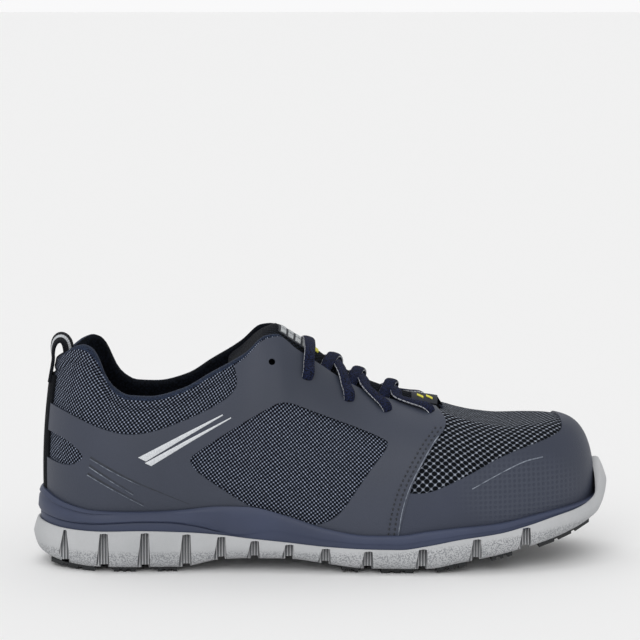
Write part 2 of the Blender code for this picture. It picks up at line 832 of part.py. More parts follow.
def add_long_slot(made, stations, y):
    """A slot along a pad, up to the underside of its plate."""
    reach = 0.01
    xs = np.concatenate(([stations[0] - reach], stations, [stations[-1] + reach]))
    rings = []
    for x in xs:
        roof = float(bottom_z(x)) - CLEARANCE - TREAD_PLATE
        rings.append(
            add_ring(
                made,
                [
                    (x, y - TREAD_SLOT / 2, -0.01),
                    (x, y + TREAD_SLOT / 2, -0.01),
                    (x, y + TREAD_SLOT / 2, roof),
                    (x, y - TREAD_SLOT / 2, roof),
                ],
            )
        )
    for lower, upper in zip(rings, rings[1:]):
        join_rings(made, lower, upper)
    made.faces.new(rings[0])
    made.faces.new(rings[-1])


def build_insole(parts):
    hold = WALL + CLEARANCE * 2
    low = FORM.wall_ring(FORM.floor + CLEARANCE, -hold)
    top = FORM.wall_ring(FORM.floor + INSOLE_THICKNESS * 1.3, -hold - 0.0006)
    centre = np.column_stack(
        (
            top[:, :2] * 0.86 + np.column_stack((top[:, 0], np.zeros(FORM.count))) * 0.14,
            FORM.floor + INSOLE_THICKNESS,
        )
    )
    return object_from("insole", body_of_rings([low, top, centre]), parts, material("insole foam", BLACK, 0.9))


def tongue_section(pair, drop):
    """Points across the tongue between one outer section and its inner twin."""
    twin = FORM.count - pair
    hold = -(wall_at(1.0) + TONGUE_CLEARANCE)
    legs = []
    for index in (pair, twin):
        legs.append([FORM.skin(t, -(wall_at(t) + TONGUE_CLEARANCE + drop))[index] for t in (0.80, 0.90, 1.0)])
    start = FORM.skin(1.0, hold - drop)[pair]
    end = FORM.skin(1.0, hold - drop)[twin]
    arch = []
    for share in (0.16, 0.33, 0.5, 0.67, 0.84):
        crown = TONGUE_CROWN * (1 - (2 * share - 1) ** 2)
        arch.append(start + (end - start) * share + CREST_WAY * crown)
    return legs[0] + arch + legs[1][::-1]


def build_tongue(parts):
    first = 3 * SECTION_STEPS
    last = 7 * SECTION_STEPS
    rings = []
    for pair in range(first, last + 1):
        rings.append(tongue_section(pair, 0.0) + tongue_section(pair, TONGUE_THICKNESS)[::-1])
    rings = [np.array(ring) for ring in rings]
    run = rings[-1] - rings[-2]
    run = run.mean(0) / np.linalg.norm(run.mean(0))
    half = len(rings[-1]) // 2
    tip = rings[-1] + run * TONGUE_TIP
    tip[:, 1] *= 0.86
    tip[:half] -= np.array((0, 0, 0.0012))
    rings.append(tip)
    return object_from("tongue", tube_of_rings(rings), parts, material("tongue fabric", BLACK, 0.9))


def flat_cord_rings(path, normals):
    """Oval rings of a flat lace along a path, lying on the given normals."""
    path = np.array(path)
    normals = np.array(normals)
    run = np.gradient(path, axis=0)
    run /= np.linalg.norm(run, axis=1)[:, None]
    rings = []
    for point, way, up in zip(path, run, normals):
        up = up - way * (up @ way)
        up /= np.linalg.norm(up)
        side = np.cross(way, up)
        rings.append(
            [
                point + side * math.cos(a) * LACE_WIDTH / 2 + up * math.sin(a) * LACE_THICKNESS / 2
                for a in np.arange(8) * math.pi / 4 + math.pi / 8
            ]
        )
    return rings


def throat_point(side, place, lift):
    """A point on the throat's edge at a share of the length, lifted off the skin."""
    half = FORM.count // 2
    rows = list(range(1, half)) if side < 0 else list(range(FORM.count - 1, half, -1))
    edge = share_of(FORM.top[rows, 0])
    nearest = np.interp(-place, -edge, np.arange(len(rows)))
    low = int(math.floor(nearest))
    high = min(low + 1, len(rows) - 1)
    mix = nearest - low
    ring = FORM.skin(1.0, lift)
    out = FORM.normals(1.0)[0]
    return (
        (1 - mix) * ring[rows[low]] + mix * ring[rows[high]],
        (1 - mix) * out[rows[low]] + mix * out[rows[high]],
    )


def strand(side, number, extra):
    """One strand: out of an eyelet, over the throat's edge and the tongue to the other edge."""
    lift = CLEARANCE * 1.3 + OVERLAY + LACE_CLEARANCE + LACE_THICKNESS / 2
    mid, normal, rise, _, _ = eyelet_frames(side)[number]
    _, leaves, lands = EYELETS[number]
    edge_lift = lift + 0.0008
    near, near_out = throat_point(side, leaves, edge_lift)
    far, far_out = throat_point(-side, lands, edge_lift)
    under = edge_lift - LACE_THICKNESS / 2 + WALL + TONGUE_CLEARANCE
    over = TONGUE_CROWN + LACE_CLEARANCE * 4.5 - under + extra
    path = [mid + normal * lift, (mid + normal * lift) * 0.5 + near * 0.5 + near_out * 0.0008, near]
    ups = [normal, (normal + near_out) / 2, near_out]
    for share in (0.2, 0.4, 0.5, 0.6, 0.8):
        flat = near * (1 - share) + far * share
        path.append(flat + CREST_WAY * over * (1 - (2 * share - 1) ** 2))
        ups.append(near_out * (1 - share) * (1 - share) + far_out * share * share + np.array((0, 0, 1.2)) * share * (1 - share) * 4)
    path.append(far)
    ups.append(far_out)
    return flat_cord_rings(path, ups)


def build_laces(parts, cutters):
    woven = material("lace", NAVY, 0.8)
    bar = object_from("lace_bar_top", tube_of_rings(strand(-1, 1, 0.0)), parts, woven)
    end = object_from("lace_bar_end", tube_of_rings(strand(1, 1, 0.0)), cutters)
    end.hide_render = True
    end.display_type = "WIRE"
    cut(bar, end, "UNION")
    for number in (1, 2, 3):
        rings = strand(-1, number + 1, 0.0)
        crossing = object_from(f"lace_crossing_{number}", tube_of_rings(rings), parts, woven)
        rings = strand(1, number + 1, 0.0008)
        other = object_from(f"lace_strand_{number}", tube_of_rings(rings), cutters)
        other.hide_render = True
        other.display_type = "WIRE"
        cut(crossing, other, "UNION")


def build_heel_strip(parts):
    """Webbing sewn down the middle of the back."""
    heel = FORM.count // 2
    near = CLEARANCE * 2.6 + OVERLAY
    rows = (heel - 1, heel, heel + 1)
    low = float(FORM.share_at(rim_z(FORM.foot[:, 0]) + 0.001)[heel])
    rings = []
    for t in np.linspace(low, 0.845, 8):
        inside = FORM.skin(t, near)
        outside = FORM.skin(t, near + STRIP_THICKNESS)
        half_width = STRIP_WIDTH / 2
        reach = abs(inside[rows[0], 1] - inside[heel, 1])
        mix = min(1.0, half_width / reach)
        edges = []
        for ring in (inside, outside):
            centre = ring[heel]
            edges.append([centre + (ring[row] - centre) * mix for row in (rows[0], rows[2])] + [centre])
        (a, b, c), (d, e, f) = edges
        rings.append([a, c, b, e, f, d])
    return object_from("heel_strip", tube_of_rings(rings), parts, material("black webbing", BLACK, 0.85))


def build_pull_loop(parts):
    """A standing loop of webbing from the back of the heel over into the collar."""
    heel = FORM.count // 2
    wall = float(wall_at(1.0)[heel])
    lift = CLEARANCE * 1.5 + LOOP_THICKNESS / 2
    outer_low = FORM.skin(0.875, lift)[heel]
    outer_high = FORM.skin(0.985, lift)[heel]
    collar = FORM.skin(0.95, -wall)[heel : heel + 3]
    side = collar[:, 1] - collar[0, 1]
    curl = float(np.interp(LOOP_WIDTH / 2, side, collar[:, 0]) - collar[0, 0])
    hold = np.array((CLEARANCE * 2 + LOOP_THICKNESS / 2 + curl, 0, 0))
    inner_high = FORM.skin(0.985, -wall)[heel] + hold
    inner_low = FORM.skin(0.88, -wall)[heel] + hold
    centre_x = (outer_high[0] + inner_high[0]) / 2
    reach = (inner_high[0] - outer_high[0]) / 2
    path = [outer_low, outer_high]
    for angle in np.radians(np.linspace(180, 0, 11)):
        x = centre_x + reach * math.cos(angle)
        z = outer_high[2] + LOOP_RISE * math.sin(angle) ** 0.8 + 0.002
        path.append(np.array((x, outer_high[1], z)))
    path += [inner_high, inner_low]
    path = np.array(path)
    run = np.gradient(path, axis=0)
    run /= np.linalg.norm(run, axis=1)[:, None]
    rings = []
    for point, way in zip(path, run):
        out = np.array((-way[2], 0, way[0])) * LOOP_THICKNESS / 2
        side = np.array((0, LOOP_WIDTH / 2, 0))
        rings.append([point + out + side, point + out - side, point - out - side, point - out + side])
    return object_from("pull_loop", tube_of_rings(rings), parts, material("loop webbing", BLACK, 0.85))


def main():
    clear_scene()
    parts = collection("safety_sneaker")
    cutters = collection("cutters")
    pins = [eyelet_cutter(side, cutters) for side in (-1, 1)]
    build_outsole(parts, cutters)
    build_treads(parts, cutters)
    build_midsole(parts)
    build_insole(parts)
    build_upper(parts, pins)
    build_overlays(parts, cutters, pins)
    build_tongue(parts)
    build_laces(parts, cutters)
    build_heel_strip(parts)
    build_pull_loop(parts)


main()
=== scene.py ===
"""A low safety sneaker for the right foot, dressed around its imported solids.

Metres, +Z up. The toe points to +X and the outer side to -Y.
"""

import math

import bmesh
import bpy
import numpy as np
from mathutils import Matrix, Vector
from mathutils.bvhtree import BVHTree


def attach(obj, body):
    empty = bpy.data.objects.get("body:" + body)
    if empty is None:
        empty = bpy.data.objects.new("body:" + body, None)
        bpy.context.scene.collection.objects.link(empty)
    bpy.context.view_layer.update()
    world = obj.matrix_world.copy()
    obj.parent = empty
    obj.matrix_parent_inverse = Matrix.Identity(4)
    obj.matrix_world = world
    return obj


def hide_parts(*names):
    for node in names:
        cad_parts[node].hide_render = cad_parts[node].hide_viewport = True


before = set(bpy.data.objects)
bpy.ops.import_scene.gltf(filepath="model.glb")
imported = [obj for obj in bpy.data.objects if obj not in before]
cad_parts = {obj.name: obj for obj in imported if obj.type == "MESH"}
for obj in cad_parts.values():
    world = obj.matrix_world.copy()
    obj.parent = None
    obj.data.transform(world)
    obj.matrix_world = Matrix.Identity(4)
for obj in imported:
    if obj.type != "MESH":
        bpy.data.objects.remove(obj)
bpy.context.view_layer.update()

# Camera and studio
# The camera stands level with the collar, in front of the shoe's outer side and a few degrees
# to the heel side of square. The shoe stands on a wide pale floor under soft light.
AIM = Vector((-0.0013, 0.0, 0.1242))
DISTANCE = 1.35
FIELD = 0.3312
TURN = math.radians(-4.0)
TILT = math.radians(7.0)

eye = bpy.data.objects.new("camera", bpy.data.cameras.new("camera"))
bpy.context.scene.collection.objects.link(eye)
eye.data.sensor_width = 36
eye.data.lens = 36 * DISTANCE / FIELD
eye.data.clip_start = 0.05
eye.data.clip_end = 100
away = Vector((math.sin(TURN) * math.cos(TILT), -math.cos(TURN) * math.cos(TILT), math.sin(TILT)))
eye.location = AIM + away * DISTANCE
eye.rotation_euler = (math.pi / 2 - TILT, 0, TURN)
bpy.context.scene.camera = eye
bpy.context.scene.view_settings.view_transform = "Standard"


def dye(code):
    """The linear colour of a dye given as six hexadecimal digits."""
    values = [int(code[i : i + 2], 16) / 255 for i in (0, 2, 4)]
    linear = [v / 12.92 if v <= 0.04045 else ((v + 0.055) / 1.055) ** 2.4 for v in values]
    return (*linear, 1.0)


def finish(name, **sockets):
    """A new material, with plain values on its shader."""
    made = bpy.data.materials.new(name)
    made.use_nodes = True
    shader = made.node_tree.nodes["Principled BSDF"]
    for socket, value in sockets.items():
        shader.inputs[socket.replace("_", " ")].default_value = value
    return made


FLOOR_RADIUS = 60
HORIZON = (0.95, 0.95, 0.955, 1)
HIGH_AIR = (0.70, 0.70, 0.70, 1)

floor_paint = finish("floor paint", Base_Color=dye("f3f3f3"), Roughness=0.9, Specular_IOR_Level=0.1)
disc = bmesh.new()
bmesh.ops.create_circle(disc, cap_ends=True, segments=96, radius=FLOOR_RADIUS)
floor_mesh = bpy.data.meshes.new("studio_floor")
disc.to_mesh(floor_mesh)
disc.free()
floor_mesh.materials.append(floor_paint)
studio_floor = bpy.data.objects.new("studio_floor", floor_mesh)
bpy.context.scene.collection.objects.link(studio_floor)

sky = bpy.data.worlds.new("studio air")
bpy.context.scene.world = sky
sky.use_nodes = True
air = sky.node_tree
air_way = air.nodes.new("ShaderNodeTexCoord")
air_parts = air.nodes.new("ShaderNodeSeparateXYZ")
air_band = air.nodes.new("ShaderNodeValToRGB")
for stop, (place, tone) in zip(air_band.color_ramp.elements, ((0.02, HORIZON), (0.20, HIGH_AIR))):
    stop.position = place
    stop.color = tone
air.links.new(air_way.outputs["Generated"], air_parts.inputs[0])
air.links.new(air_parts.outputs[2], air_band.inputs[0])
air.links.new(air_band.outputs[0], air.nodes["Background"].inputs["Color"])


def lamp(name, way, spread, power):
    """A soft distant lamp that shines from the way given."""
    light = bpy.data.lights.new(name, "SUN")
    light.angle = math.radians(spread)
    light.energy = power
    holder = bpy.data.objects.new(name, light)
    holder.rotation_euler = Vector(way).to_track_quat("Z", "Y").to_euler()
    bpy.context.scene.collection.objects.link(holder)


lamp("front lamp", (-0.45, -1.4, 1.0), 40, 0.85)
lamp("top lamp", (-0.3, 0.6, 2.2), 55, 0.42)

# Upper
# The upper is one lasted sock of knitted mesh: fine over the quarters, open cells over the
# vamp. Its collar is padded, bound with a rolled heather fabric and lined in near black.
LENGTH = 0.300
BALL_WIDTH = 0.108
BACK_HEIGHT = 0.113
SOLE_HEIGHT = 0.032
WALL = 0.0022
COLLAR_PADDING = 0.0048
COLLAR_SEAM = 0.0008
COLLAR_ROLL = 4
COLLAR_SKEW = 0.015
SOLE_EDGE = 0.0058
MIDSOLE_FLOOR = 0.0035
EYELET_RADIUS = 0.0017
EYELET_SETBACK = 0.0135
EYELET_PIN = 0.018
VAMP_FROM = 0.6125
SPOKES = 16

# Upright sections from the toe to the heel, in shares of LENGTH, BALL_WIDTH and SOLE_EDGE
SECTIONS = (
    # along outer inner edge top_along top_outer top_inner dome shoulder full bulge padding
    (1.000, -0.040, 0.040, 1.30, 0.713, -0.016, 0.016, 1.00, 0.20, 2.6, 0.000, 0.0),
    (0.984, 0.135, 0.210, 1.30, 0.711, 0.030, 0.058, 1.00, 0.21, 2.6, 0.001, 0.0),
    (0.945, 0.275, 0.340, 1.22, 0.706, 0.068, 0.100, 1.00, 0.25, 2.6, 0.003, 0.0),
    (0.872, 0.410, 0.430, 1.10, 0.696, 0.092, 0.128, 1.00, 0.34, 2.5, 0.006, 0.0),
    (0.770, 0.486, 0.476, 1.00, 0.660, 0.112, 0.142, 0.95, 0.40, 2.4, 0.010, 0.0),
    (0.660, 0.500, 0.466, 1.00, 0.600, 0.125, 0.150, 0.75, 0.40, 2.3, 0.012, 0.0),
    (0.540, 0.462, 0.385, 1.00, 0.520, 0.145, 0.168, 0.50, 0.36, 2.2, 0.012, 0.1),
    (0.420, 0.405, 0.330, 1.00, 0.420, 0.200, 0.215, 0.30, 0.30, 2.1, 0.012, 0.4),
    (0.300, 0.375, 0.335, 1.00, 0.325, 0.268, 0.262, 0.12, 0.28, 2.0, 0.014, 0.9),
    (0.180, 0.372, 0.352, 1.00, 0.200, 0.290, 0.280, 0.00, 0.28, 2.0, 0.022, 1.0),
    (0.065, 0.290, 0.285, 1.10, 0.096, 0.222, 0.220, 0.00, 0.28, 2.0, 0.020, 1.0),
    (0.000, 0.000, 0.000, 1.35, 0.0415, 0.000, 0.000, 0.00, 0.28, 2.0, 0.009, 0.75),
)

PAD_TOP = 0.0025 / SOLE_HEIGHT
# The sole and the top edge from the side: along, then heights in shares of SOLE_HEIGHT and
# of BACK_HEIGHT
SOLE_SIDE = (
    # along bottom seat lip rim
    (0.000, 0.280, 0.720, 0.830, 1.430),
    (0.030, 0.150, 0.694, 0.724, 1.219),
    (0.063, 0.105, 0.667, 0.687, 1.081),
    (0.110, PAD_TOP, 0.653, 0.678, 1.001),
    (0.180, PAD_TOP, 0.665, 0.693, 0.996),
    (0.250, PAD_TOP, 0.643, 0.670, 1.015),
    (0.316, 0.190, 0.596, 0.623, 1.065),
    (0.367, 0.212, 0.535, 0.563, 1.054),
    (0.434, 0.212, 0.474, 0.503, 0.908),
    (0.500, 0.140, 0.418, 0.445, 0.717),
    (0.568, PAD_TOP, 0.388, 0.417, 0.624),
    (0.620, PAD_TOP, 0.385, 0.414, 0.630),
    (0.665, PAD_TOP, 0.442, 0.472, 0.693),
    (0.721, 0.165, 0.538, 0.570, 0.747),
    (0.787, 0.270, 0.606, 0.646, 0.793),
    (0.833, 0.360, 0.680, 0.740, 0.865),
    (0.879, 0.455, 0.730, 0.845, 0.930),
    (0.928, 0.585, 0.780, 0.935, 0.975),
    (0.955, 0.680, 0.810, 1.060, 1.000),
    (0.970, 0.740, 0.825, 1.400, 1.015),
    (0.984, 0.815, 0.845, 1.860, 1.030),
    (1.000, 0.930, 0.860, 2.020, 1.040),
)
TOPLINE = (
    (0.000, 0.910), (0.041, 0.938), (0.055, 0.966), (0.069, 0.990), (0.083, 0.999),
    (0.097, 0.988), (0.109, 0.960), (0.119, 0.915), (0.128, 0.860), (0.141, 0.812),
    (0.164, 0.779), (0.200, 0.774), (0.255, 0.808), (0.300, 0.872), (0.360, 0.959),
    (0.398, 1.044), (0.418, 1.052), (0.448, 0.990), (0.483, 0.925), (0.529, 0.838),
    (0.577, 0.772), (0.633, 0.724), (0.690, 0.700), (0.715, 0.684), (0.745, 0.659),
    (0.775, 0.641), (0.818, 0.629), (0.871, 0.634), (0.910, 0.640), (1.000, 0.640),
)
# Each eyelet's place, and where its lace crosses the near and the far throat edge
EYELETS = (
    # place leaves lands
    (0.408, 0.412, 0.412),
    (0.463, 0.468, 0.468),
    (0.530, 0.527, 0.503),
    (0.588, 0.568, 0.546),
    (0.652, 0.626, 0.601),
)


def smooth_loop(values, steps):
    """Samples of the smooth closed curve through values, steps of them for each value."""
    count = len(values)
    identity = np.eye(count)
    pull = (4 * identity + np.roll(identity, 1, 0) + np.roll(identity, -1, 0)) / 6
    controls = np.linalg.solve(pull, np.asarray(values, float))
    place = np.arange(count * steps) / steps
    index = np.floor(place).astype(int)
    f = place - index
    weights = (
        (1 - f) ** 3 / 6,
        (3 * f**3 - 6 * f**2 + 4) / 6,
        (-3 * f**3 + 3 * f**2 + 3 * f + 1) / 6,
        f**3 / 6,
    )
    return sum(w * controls[(index + k) % count] for w, k in zip(weights, (-1, 0, 1, 2)))


def smooth_table(rows, column, x):
    """The value of a table's column at x, on a curve that never overshoots its rows."""
    table = np.array(rows, float)
    xs, ys = table[:, 0], table[:, column]
    step = np.diff(xs)
    slope = np.diff(ys) / step
    before, after = slope[:-1], slope[1:]
    same_way = before * after > 0
    safe = np.where(same_way, before * after, 1.0)
    middle = np.where(same_way, 2 * safe / np.where(same_way, before + after, 1.0), 0.0)
    tangent = np.concatenate(([slope[0]], middle, [slope[-1]]))
    x = np.clip(x, xs[0], xs[-1])
    i = np.clip(np.searchsorted(xs, x, side="right") - 1, 0, len(step) - 1)
    h = step[i]
    f = (x - xs[i]) / h
    return (
        (2 * f**3 - 3 * f**2 + 1) * ys[i]
        + (f**3 - 2 * f**2 + f) * h * tangent[i]
        + (3 * f**2 - 2 * f**3) * ys[i + 1]
        + (f**3 - f**2) * h * tangent[i + 1]
    )


def unit(vectors):
    """The same vectors with a length of one."""
    return vectors / np.linalg.norm(vectors, axis=-1, keepdims=True)


def run_along(points):
    """How far each point lies along the line of points."""
    return np.concatenate(([0], np.cumsum(np.linalg.norm(np.diff(points, axis=0), axis=1))))


def along_x(share):
    return (np.asarray(share) - 0.5) * LENGTH


def share_of(x):
    return np.asarray(x) / LENGTH + 0.5


def sole_height(column, x):
    return smooth_table(SOLE_SIDE, column, share_of(x)) * SOLE_HEIGHT


def bottom_z(x):
    return sole_height(1, x)


def seat_z(x):
    return sole_height(2, x)


def lip_z(x):
    return sole_height(3, x)


def rim_z(x):
    return sole_height(4, x)


def floor_z(x):
    return seat_z(x) + MIDSOLE_FLOOR


def topline_z(x):
    return smooth_table(TOPLINE, 1, share_of(x)) * BACK_HEIGHT


def around(column_outer, column_inner, steps):
    """A column pair of SECTIONS as a smooth loop: toe tip, outer side, heel, inner side."""
    outer = [row[column_outer] for row in SECTIONS]
    inner = [row[column_inner] for row in SECTIONS]
    return smooth_loop(outer + inner[-2:0:-1], steps)


def across(column_outer, column_inner, steps):
    """Like around, for half widths: the outer side is negative Y and the inner positive."""
    outer = [-row[column_outer] for row in SECTIONS]
    inner = [row[column_inner] for row in SECTIONS]
    return smooth_loop(outer + inner[-2:0:-1], steps) * BALL_WIDTH


def outward_of(plan):
    """Unit vectors pointing out of a closed plan outline."""
    run = np.roll(plan, -1, 0) - np.roll(plan, 1, 0)
    out = unit(np.stack((-run[:, 1], run[:, 0]), 1))
    return out if (out * (plan - plan.mean(0))).sum() > 0 else -out


class Form:
    """The shoe's form over its last, as upright sections that all other pieces follow."""

    def __init__(self, steps):
        wide = across(1, 2, steps)
        middle = (wide.max() + wide.min()) / 2
        self.sole = np.stack((along_x(around(0, 0, steps)), wide - middle), 1)
        self.outward = outward_of(self.sole)
        edge = around(3, 3, steps)[:, None] * SOLE_EDGE
        self.foot = self.sole - self.outward * edge
        self.top = np.stack((along_x(around(4, 4, steps)), across(5, 6, steps) - middle), 1)
        self.dome = np.clip(around(7, 7, steps), 0, 1)
        self.shoulder = around(8, 8, steps) * BALL_WIDTH
        self.full = around(9, 9, steps)
        self.bulge = around(10, 10, steps) * BALL_WIDTH
        self.padding = np.clip(around(11, 11, steps), 0, 1) * COLLAR_PADDING
        inside = 0.5 + 0.5 * np.clip(self.top[:, 1] / (0.2 * BALL_WIDTH), -1, 1)
        rear = np.clip((0.36 - share_of(self.top[:, 0])) / 0.1, 0, 1)
        self.skew = COLLAR_SKEW * LENGTH * inside * rear
        self.count = len(self.sole)
        self.floor = floor_z(self.foot[:, 0])
        self.inward = self.top - self.foot
        self.reach = np.linalg.norm(self.inward, axis=1)
        self.inward /= self.reach[:, None]

    def spread(self, value):
        """A value for every section, from one number or from as many."""
        return np.broadcast_to(np.asarray(value, float), (self.count,))

    def base(self, t):
        """Points of all sections at the share t of the way up, on the outer skin."""
        t = self.spread(t)
        rise_to = topline_z(self.top[:, 0] - self.skew) - self.floor
        radius = np.minimum(self.shoulder, self.reach)
        flat = self.reach - radius
        turn = (rise_to + radius) / (rise_to + radius + flat)
        angle = np.clip(t / turn, 0, 1) * math.pi / 2
        beyond = np.clip((t - turn) / np.maximum(1 - turn, 1e-6), 0, 1)
        power = 2 / self.full
        dome_in = radius * (1 - np.cos(angle).clip(0) ** power) + flat * beyond
        dome_up = np.sin(angle).clip(0) ** power
        wall_in = self.reach * t**2
        inward = self.dome * dome_in + (1 - self.dome) * wall_in
        up = self.dome * dome_up + (1 - self.dome) * t
        swell = self.bulge * np.sin(math.pi * t)
        plan = self.foot + self.inward * inward[:, None] + self.outward * swell[:, None]
        z = self.floor + up * (topline_z(plan[:, 0] - self.skew) - self.floor)
        return np.column_stack((plan, z))

    def normals(self, t):
        """Unit vectors out of the skin, and unit vectors up along it, at the share t."""
        t = self.spread(t)
        here = self.base(t)
        up = self.base(np.minimum(t + 0.01, 1)) - self.base(np.maximum(t - 0.01, 0))
        run = np.roll(here, -1, 0) - np.roll(here, 1, 0)
        out = unit(np.cross(run, up))
        if (out[:, :2] * self.outward).sum() < 0:
            out = -out
        return out, unit(up)

    def skin(self, t, lift=0.0):
        """A ring of the skin, lifted outwards along its own normals."""
        return self.base(t) + self.normals(t)[0] * self.spread(lift)[:, None]

    def share_at(self, z):
        """The share t at which each section reaches the height z."""
        shares = np.linspace(0, 1, 121)
        heights = np.array([self.base(t)[:, 2] for t in shares])
        columns = np.maximum.accumulate(heights).T
        levels = self.spread(z)
        return np.array([np.interp(level, column, shares) for level, column in zip(levels, columns)])

    def wall_ring(self, z, lift):
        """A ring at the height z, held off the skin by lift in plan."""
        plan = self.base(self.share_at(z))[:, :2] + self.outward * self.spread(lift)[:, None]
        return np.column_stack((plan, self.spread(z)))

    def sole_ring(self, z, inset):
        """A ring at the height z, inside the sole's outline by inset."""
        return np.column_stack((self.sole - self.outward * self.spread(inset)[:, None], self.spread(z)))


LAST = Form(SPOKES)


def wall_at(t):
    """Thickness of the upper's wall at the share t: padded towards the collar."""
    return WALL + LAST.padding * np.clip((t - 0.5) / 0.35, 0, 1) ** 2


def lofted(rings, looped=False, caps=False, cloth=None, zones=None):
    """A skin through closed rings, from a grid whose long seam is merged.

    cloth gives each ring point its place on the cloth in metres, and zones a material number.
    """
    rings = np.asarray(rings, float)
    if looped:
        rings = np.concatenate((rings, rings[:1]))
    rings = np.concatenate((rings, rings[:, :1]), axis=1)
    rows, columns = rings.shape[:2]
    made = bmesh.new()
    bmesh.ops.create_grid(made, x_segments=columns - 1, y_segments=rows - 1, size=1)
    made.verts.ensure_lookup_table()
    for vert, place in zip(made.verts, rings.reshape(-1, 3)):
        vert.co = place
    if zones is not None:
        for face, zone in zip(made.faces, np.asarray(zones).ravel()):
            face.material_index = int(zone)
    if cloth is None:
        run = np.linalg.norm(np.diff(rings, axis=1), axis=2).mean(0)
        rise = np.linalg.norm(np.diff(rings, axis=0), axis=2).mean(1)
        u, v = np.concatenate(([0], np.cumsum(run))), np.concatenate(([0], np.cumsum(rise)))
        cloth = np.stack(np.meshgrid(u, v), 2)
    flat = np.asarray(cloth).reshape(-1, 2)
    layer = made.loops.layers.uv.new("cloth")
    for face in made.faces:
        for loop in face.loops:
            loop[layer].uv = flat[loop.vert.index]
    bmesh.ops.remove_doubles(made, verts=made.verts[:], dist=1e-6)
    if caps:
        open_edges = [edge for edge in made.edges if edge.is_boundary]
        bmesh.ops.holes_fill(made, edges=open_edges, sides=0)
    bmesh.ops.recalc_face_normals(made, faces=made.faces[:])
    return made


def piece(name, made, finishes, nodes=(), sharp=38):
    """A finished piece of the shoe from a bmesh."""
    mesh = bpy.data.meshes.new(name)
    made.to_mesh(mesh)
    made.free()
    for item in finishes:
        mesh.materials.append(item)
    mesh.shade_smooth()
    mesh.set_sharp_from_angle(angle=math.radians(sharp))
    shaped = bpy.data.objects.new(name, mesh)
    bpy.context.scene.collection.objects.link(shaped)
    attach(shaped, "root")
    if nodes:
        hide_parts(*nodes)
    return shaped


def cut(shaped, made, how, finishes=(), sharp=38):
    """Cuts a piece with a closed bmesh, or keeps what lies in it."""
    mesh = bpy.data.meshes.new("cutter")
    bmesh.ops.recalc_face_normals(made, faces=made.faces[:])
    made.to_mesh(mesh)
    made.free()
    for item in finishes:
        mesh.materials.append(item)
    cutter = bpy.data.objects.new("cutter", mesh)
    bpy.context.scene.collection.objects.link(cutter)
    step = shaped.modifiers.new("cut", "BOOLEAN")
    step.object = cutter
    step.operation = how
    step.solver = "EXACT"
    step.material_mode = "TRANSFER" if finishes else "INDEX"
    graph = bpy.context.evaluated_depsgraph_get()
    graph.update()
    result = bpy.data.meshes.new_from_object(shaped.evaluated_get(graph))
    shaped.modifiers.clear()
    old = shaped.data
    shaped.data = result
    result.name = shaped.name
    bpy.data.meshes.remove(old)
    bpy.data.objects.remove(cutter)
    bpy.data.meshes.remove(mesh)
    result.shade_smooth()
    result.set_sharp_from_angle(angle=math.radians(sharp))


def section_by(side, place):
    """The two sections beside a share of the length along the top edge, and how far between."""
    half = LAST.count // 2
    rows = np.arange(1, half) if side < 0 else np.arange(LAST.count - 1, half, -1)
    nearest = np.interp(-place, -share_of(LAST.top[rows, 0]), np.arange(len(rows)))
    low = int(math.floor(nearest))
    return rows[low], rows[min(low + 1, len(rows) - 1)], nearest - low


def mixed(ring, where):
    low, high, mix = where
    return (1 - mix) * ring[low] + mix * ring[high]


def eyelet_frames(side):
    """Place, outward normal and upward tangent of each eyelet; side -1 is the outer side."""
    shares = np.linspace(1, 0, 101)
    skins = [LAST.base(t) for t in shares]
    frames = []
    for place, _, _ in EYELETS:
        where = section_by(side, place)
        path = [mixed(skin, where) for skin in skins]
        share = float(np.interp(EYELET_SETBACK, run_along(path), shares))
        out, up = LAST.normals(share)
        frames.append((mixed(LAST.base(share), where), unit(mixed(out, where)), unit(mixed(up, where))))
    return frames


def eyelet_pins():
    """Round pins through all ten eyelets."""
    pins = bmesh.new()
    for side in (-1, 1):
        for middle, normal, _ in eyelet_frames(side):
            turn = Vector(normal).to_track_quat("Z", "Y").to_matrix().to_4x4()
            bmesh.ops.create_cone(
                pins,
                cap_ends=True,
                segments=20,
                radius1=EYELET_RADIUS,
                radius2=EYELET_RADIUS,
                depth=EYELET_PIN,
                matrix=Matrix.Translation(middle) @ turn,
            )
    return pins


def add(made, kind, sources=(), **settings):
    """A node in a material; sources are values or other nodes' outputs, in socket order."""
    item = made.node_tree.nodes.new("ShaderNode" + kind)
    for key, value in settings.items():
        setattr(item, key, value)
    pairs = sources.items() if isinstance(sources, dict) else enumerate(sources)
    for socket, value in pairs:
        if isinstance(value, bpy.types.NodeSocket):
            made.node_tree.links.new(value, item.inputs[socket])
        elif value is not None:
            item.inputs[socket].default_value = value
    return item.outputs


def ramp(made, source, *stops):
    """A colour ramp from source, through (place, colour) stops."""
    outputs = add(made, "ValToRGB", [source])
    band = outputs[0].node.color_ramp
    while len(band.elements) < len(stops):
        band.elements.new(0.5)
    for element, (place, colour) in zip(band.elements, stops):
        element.position = place
        element.color = colour
    return outputs[0]


def wire(made, socket, source):
    made.node_tree.links.new(source, made.node_tree.nodes["Principled BSDF"].inputs[socket])


def reckon(made, operation, *values):
    return add(made, "Math", values, operation=operation)[0]


def ranged(made, value, *limits, smooth=False):
    """A value carried from one pair of limits to another."""
    way = "SMOOTHSTEP" if smooth else "LINEAR"
    return add(made, "MapRange", [value, *limits], interpolation_type=way)[0]


def noise(made, place, scale, detail):
    return add(made, "TexNoise", {"Vector": place, "Scale": scale, "Detail": detail})[0]


def relief(made, strength, depth, height, **below):
    """A slight relief on the finish, over another one if it is given."""
    sources = {"Strength": strength, "Distance": depth, "Height": height, **below}
    return add(made, "Bump", sources)[0]


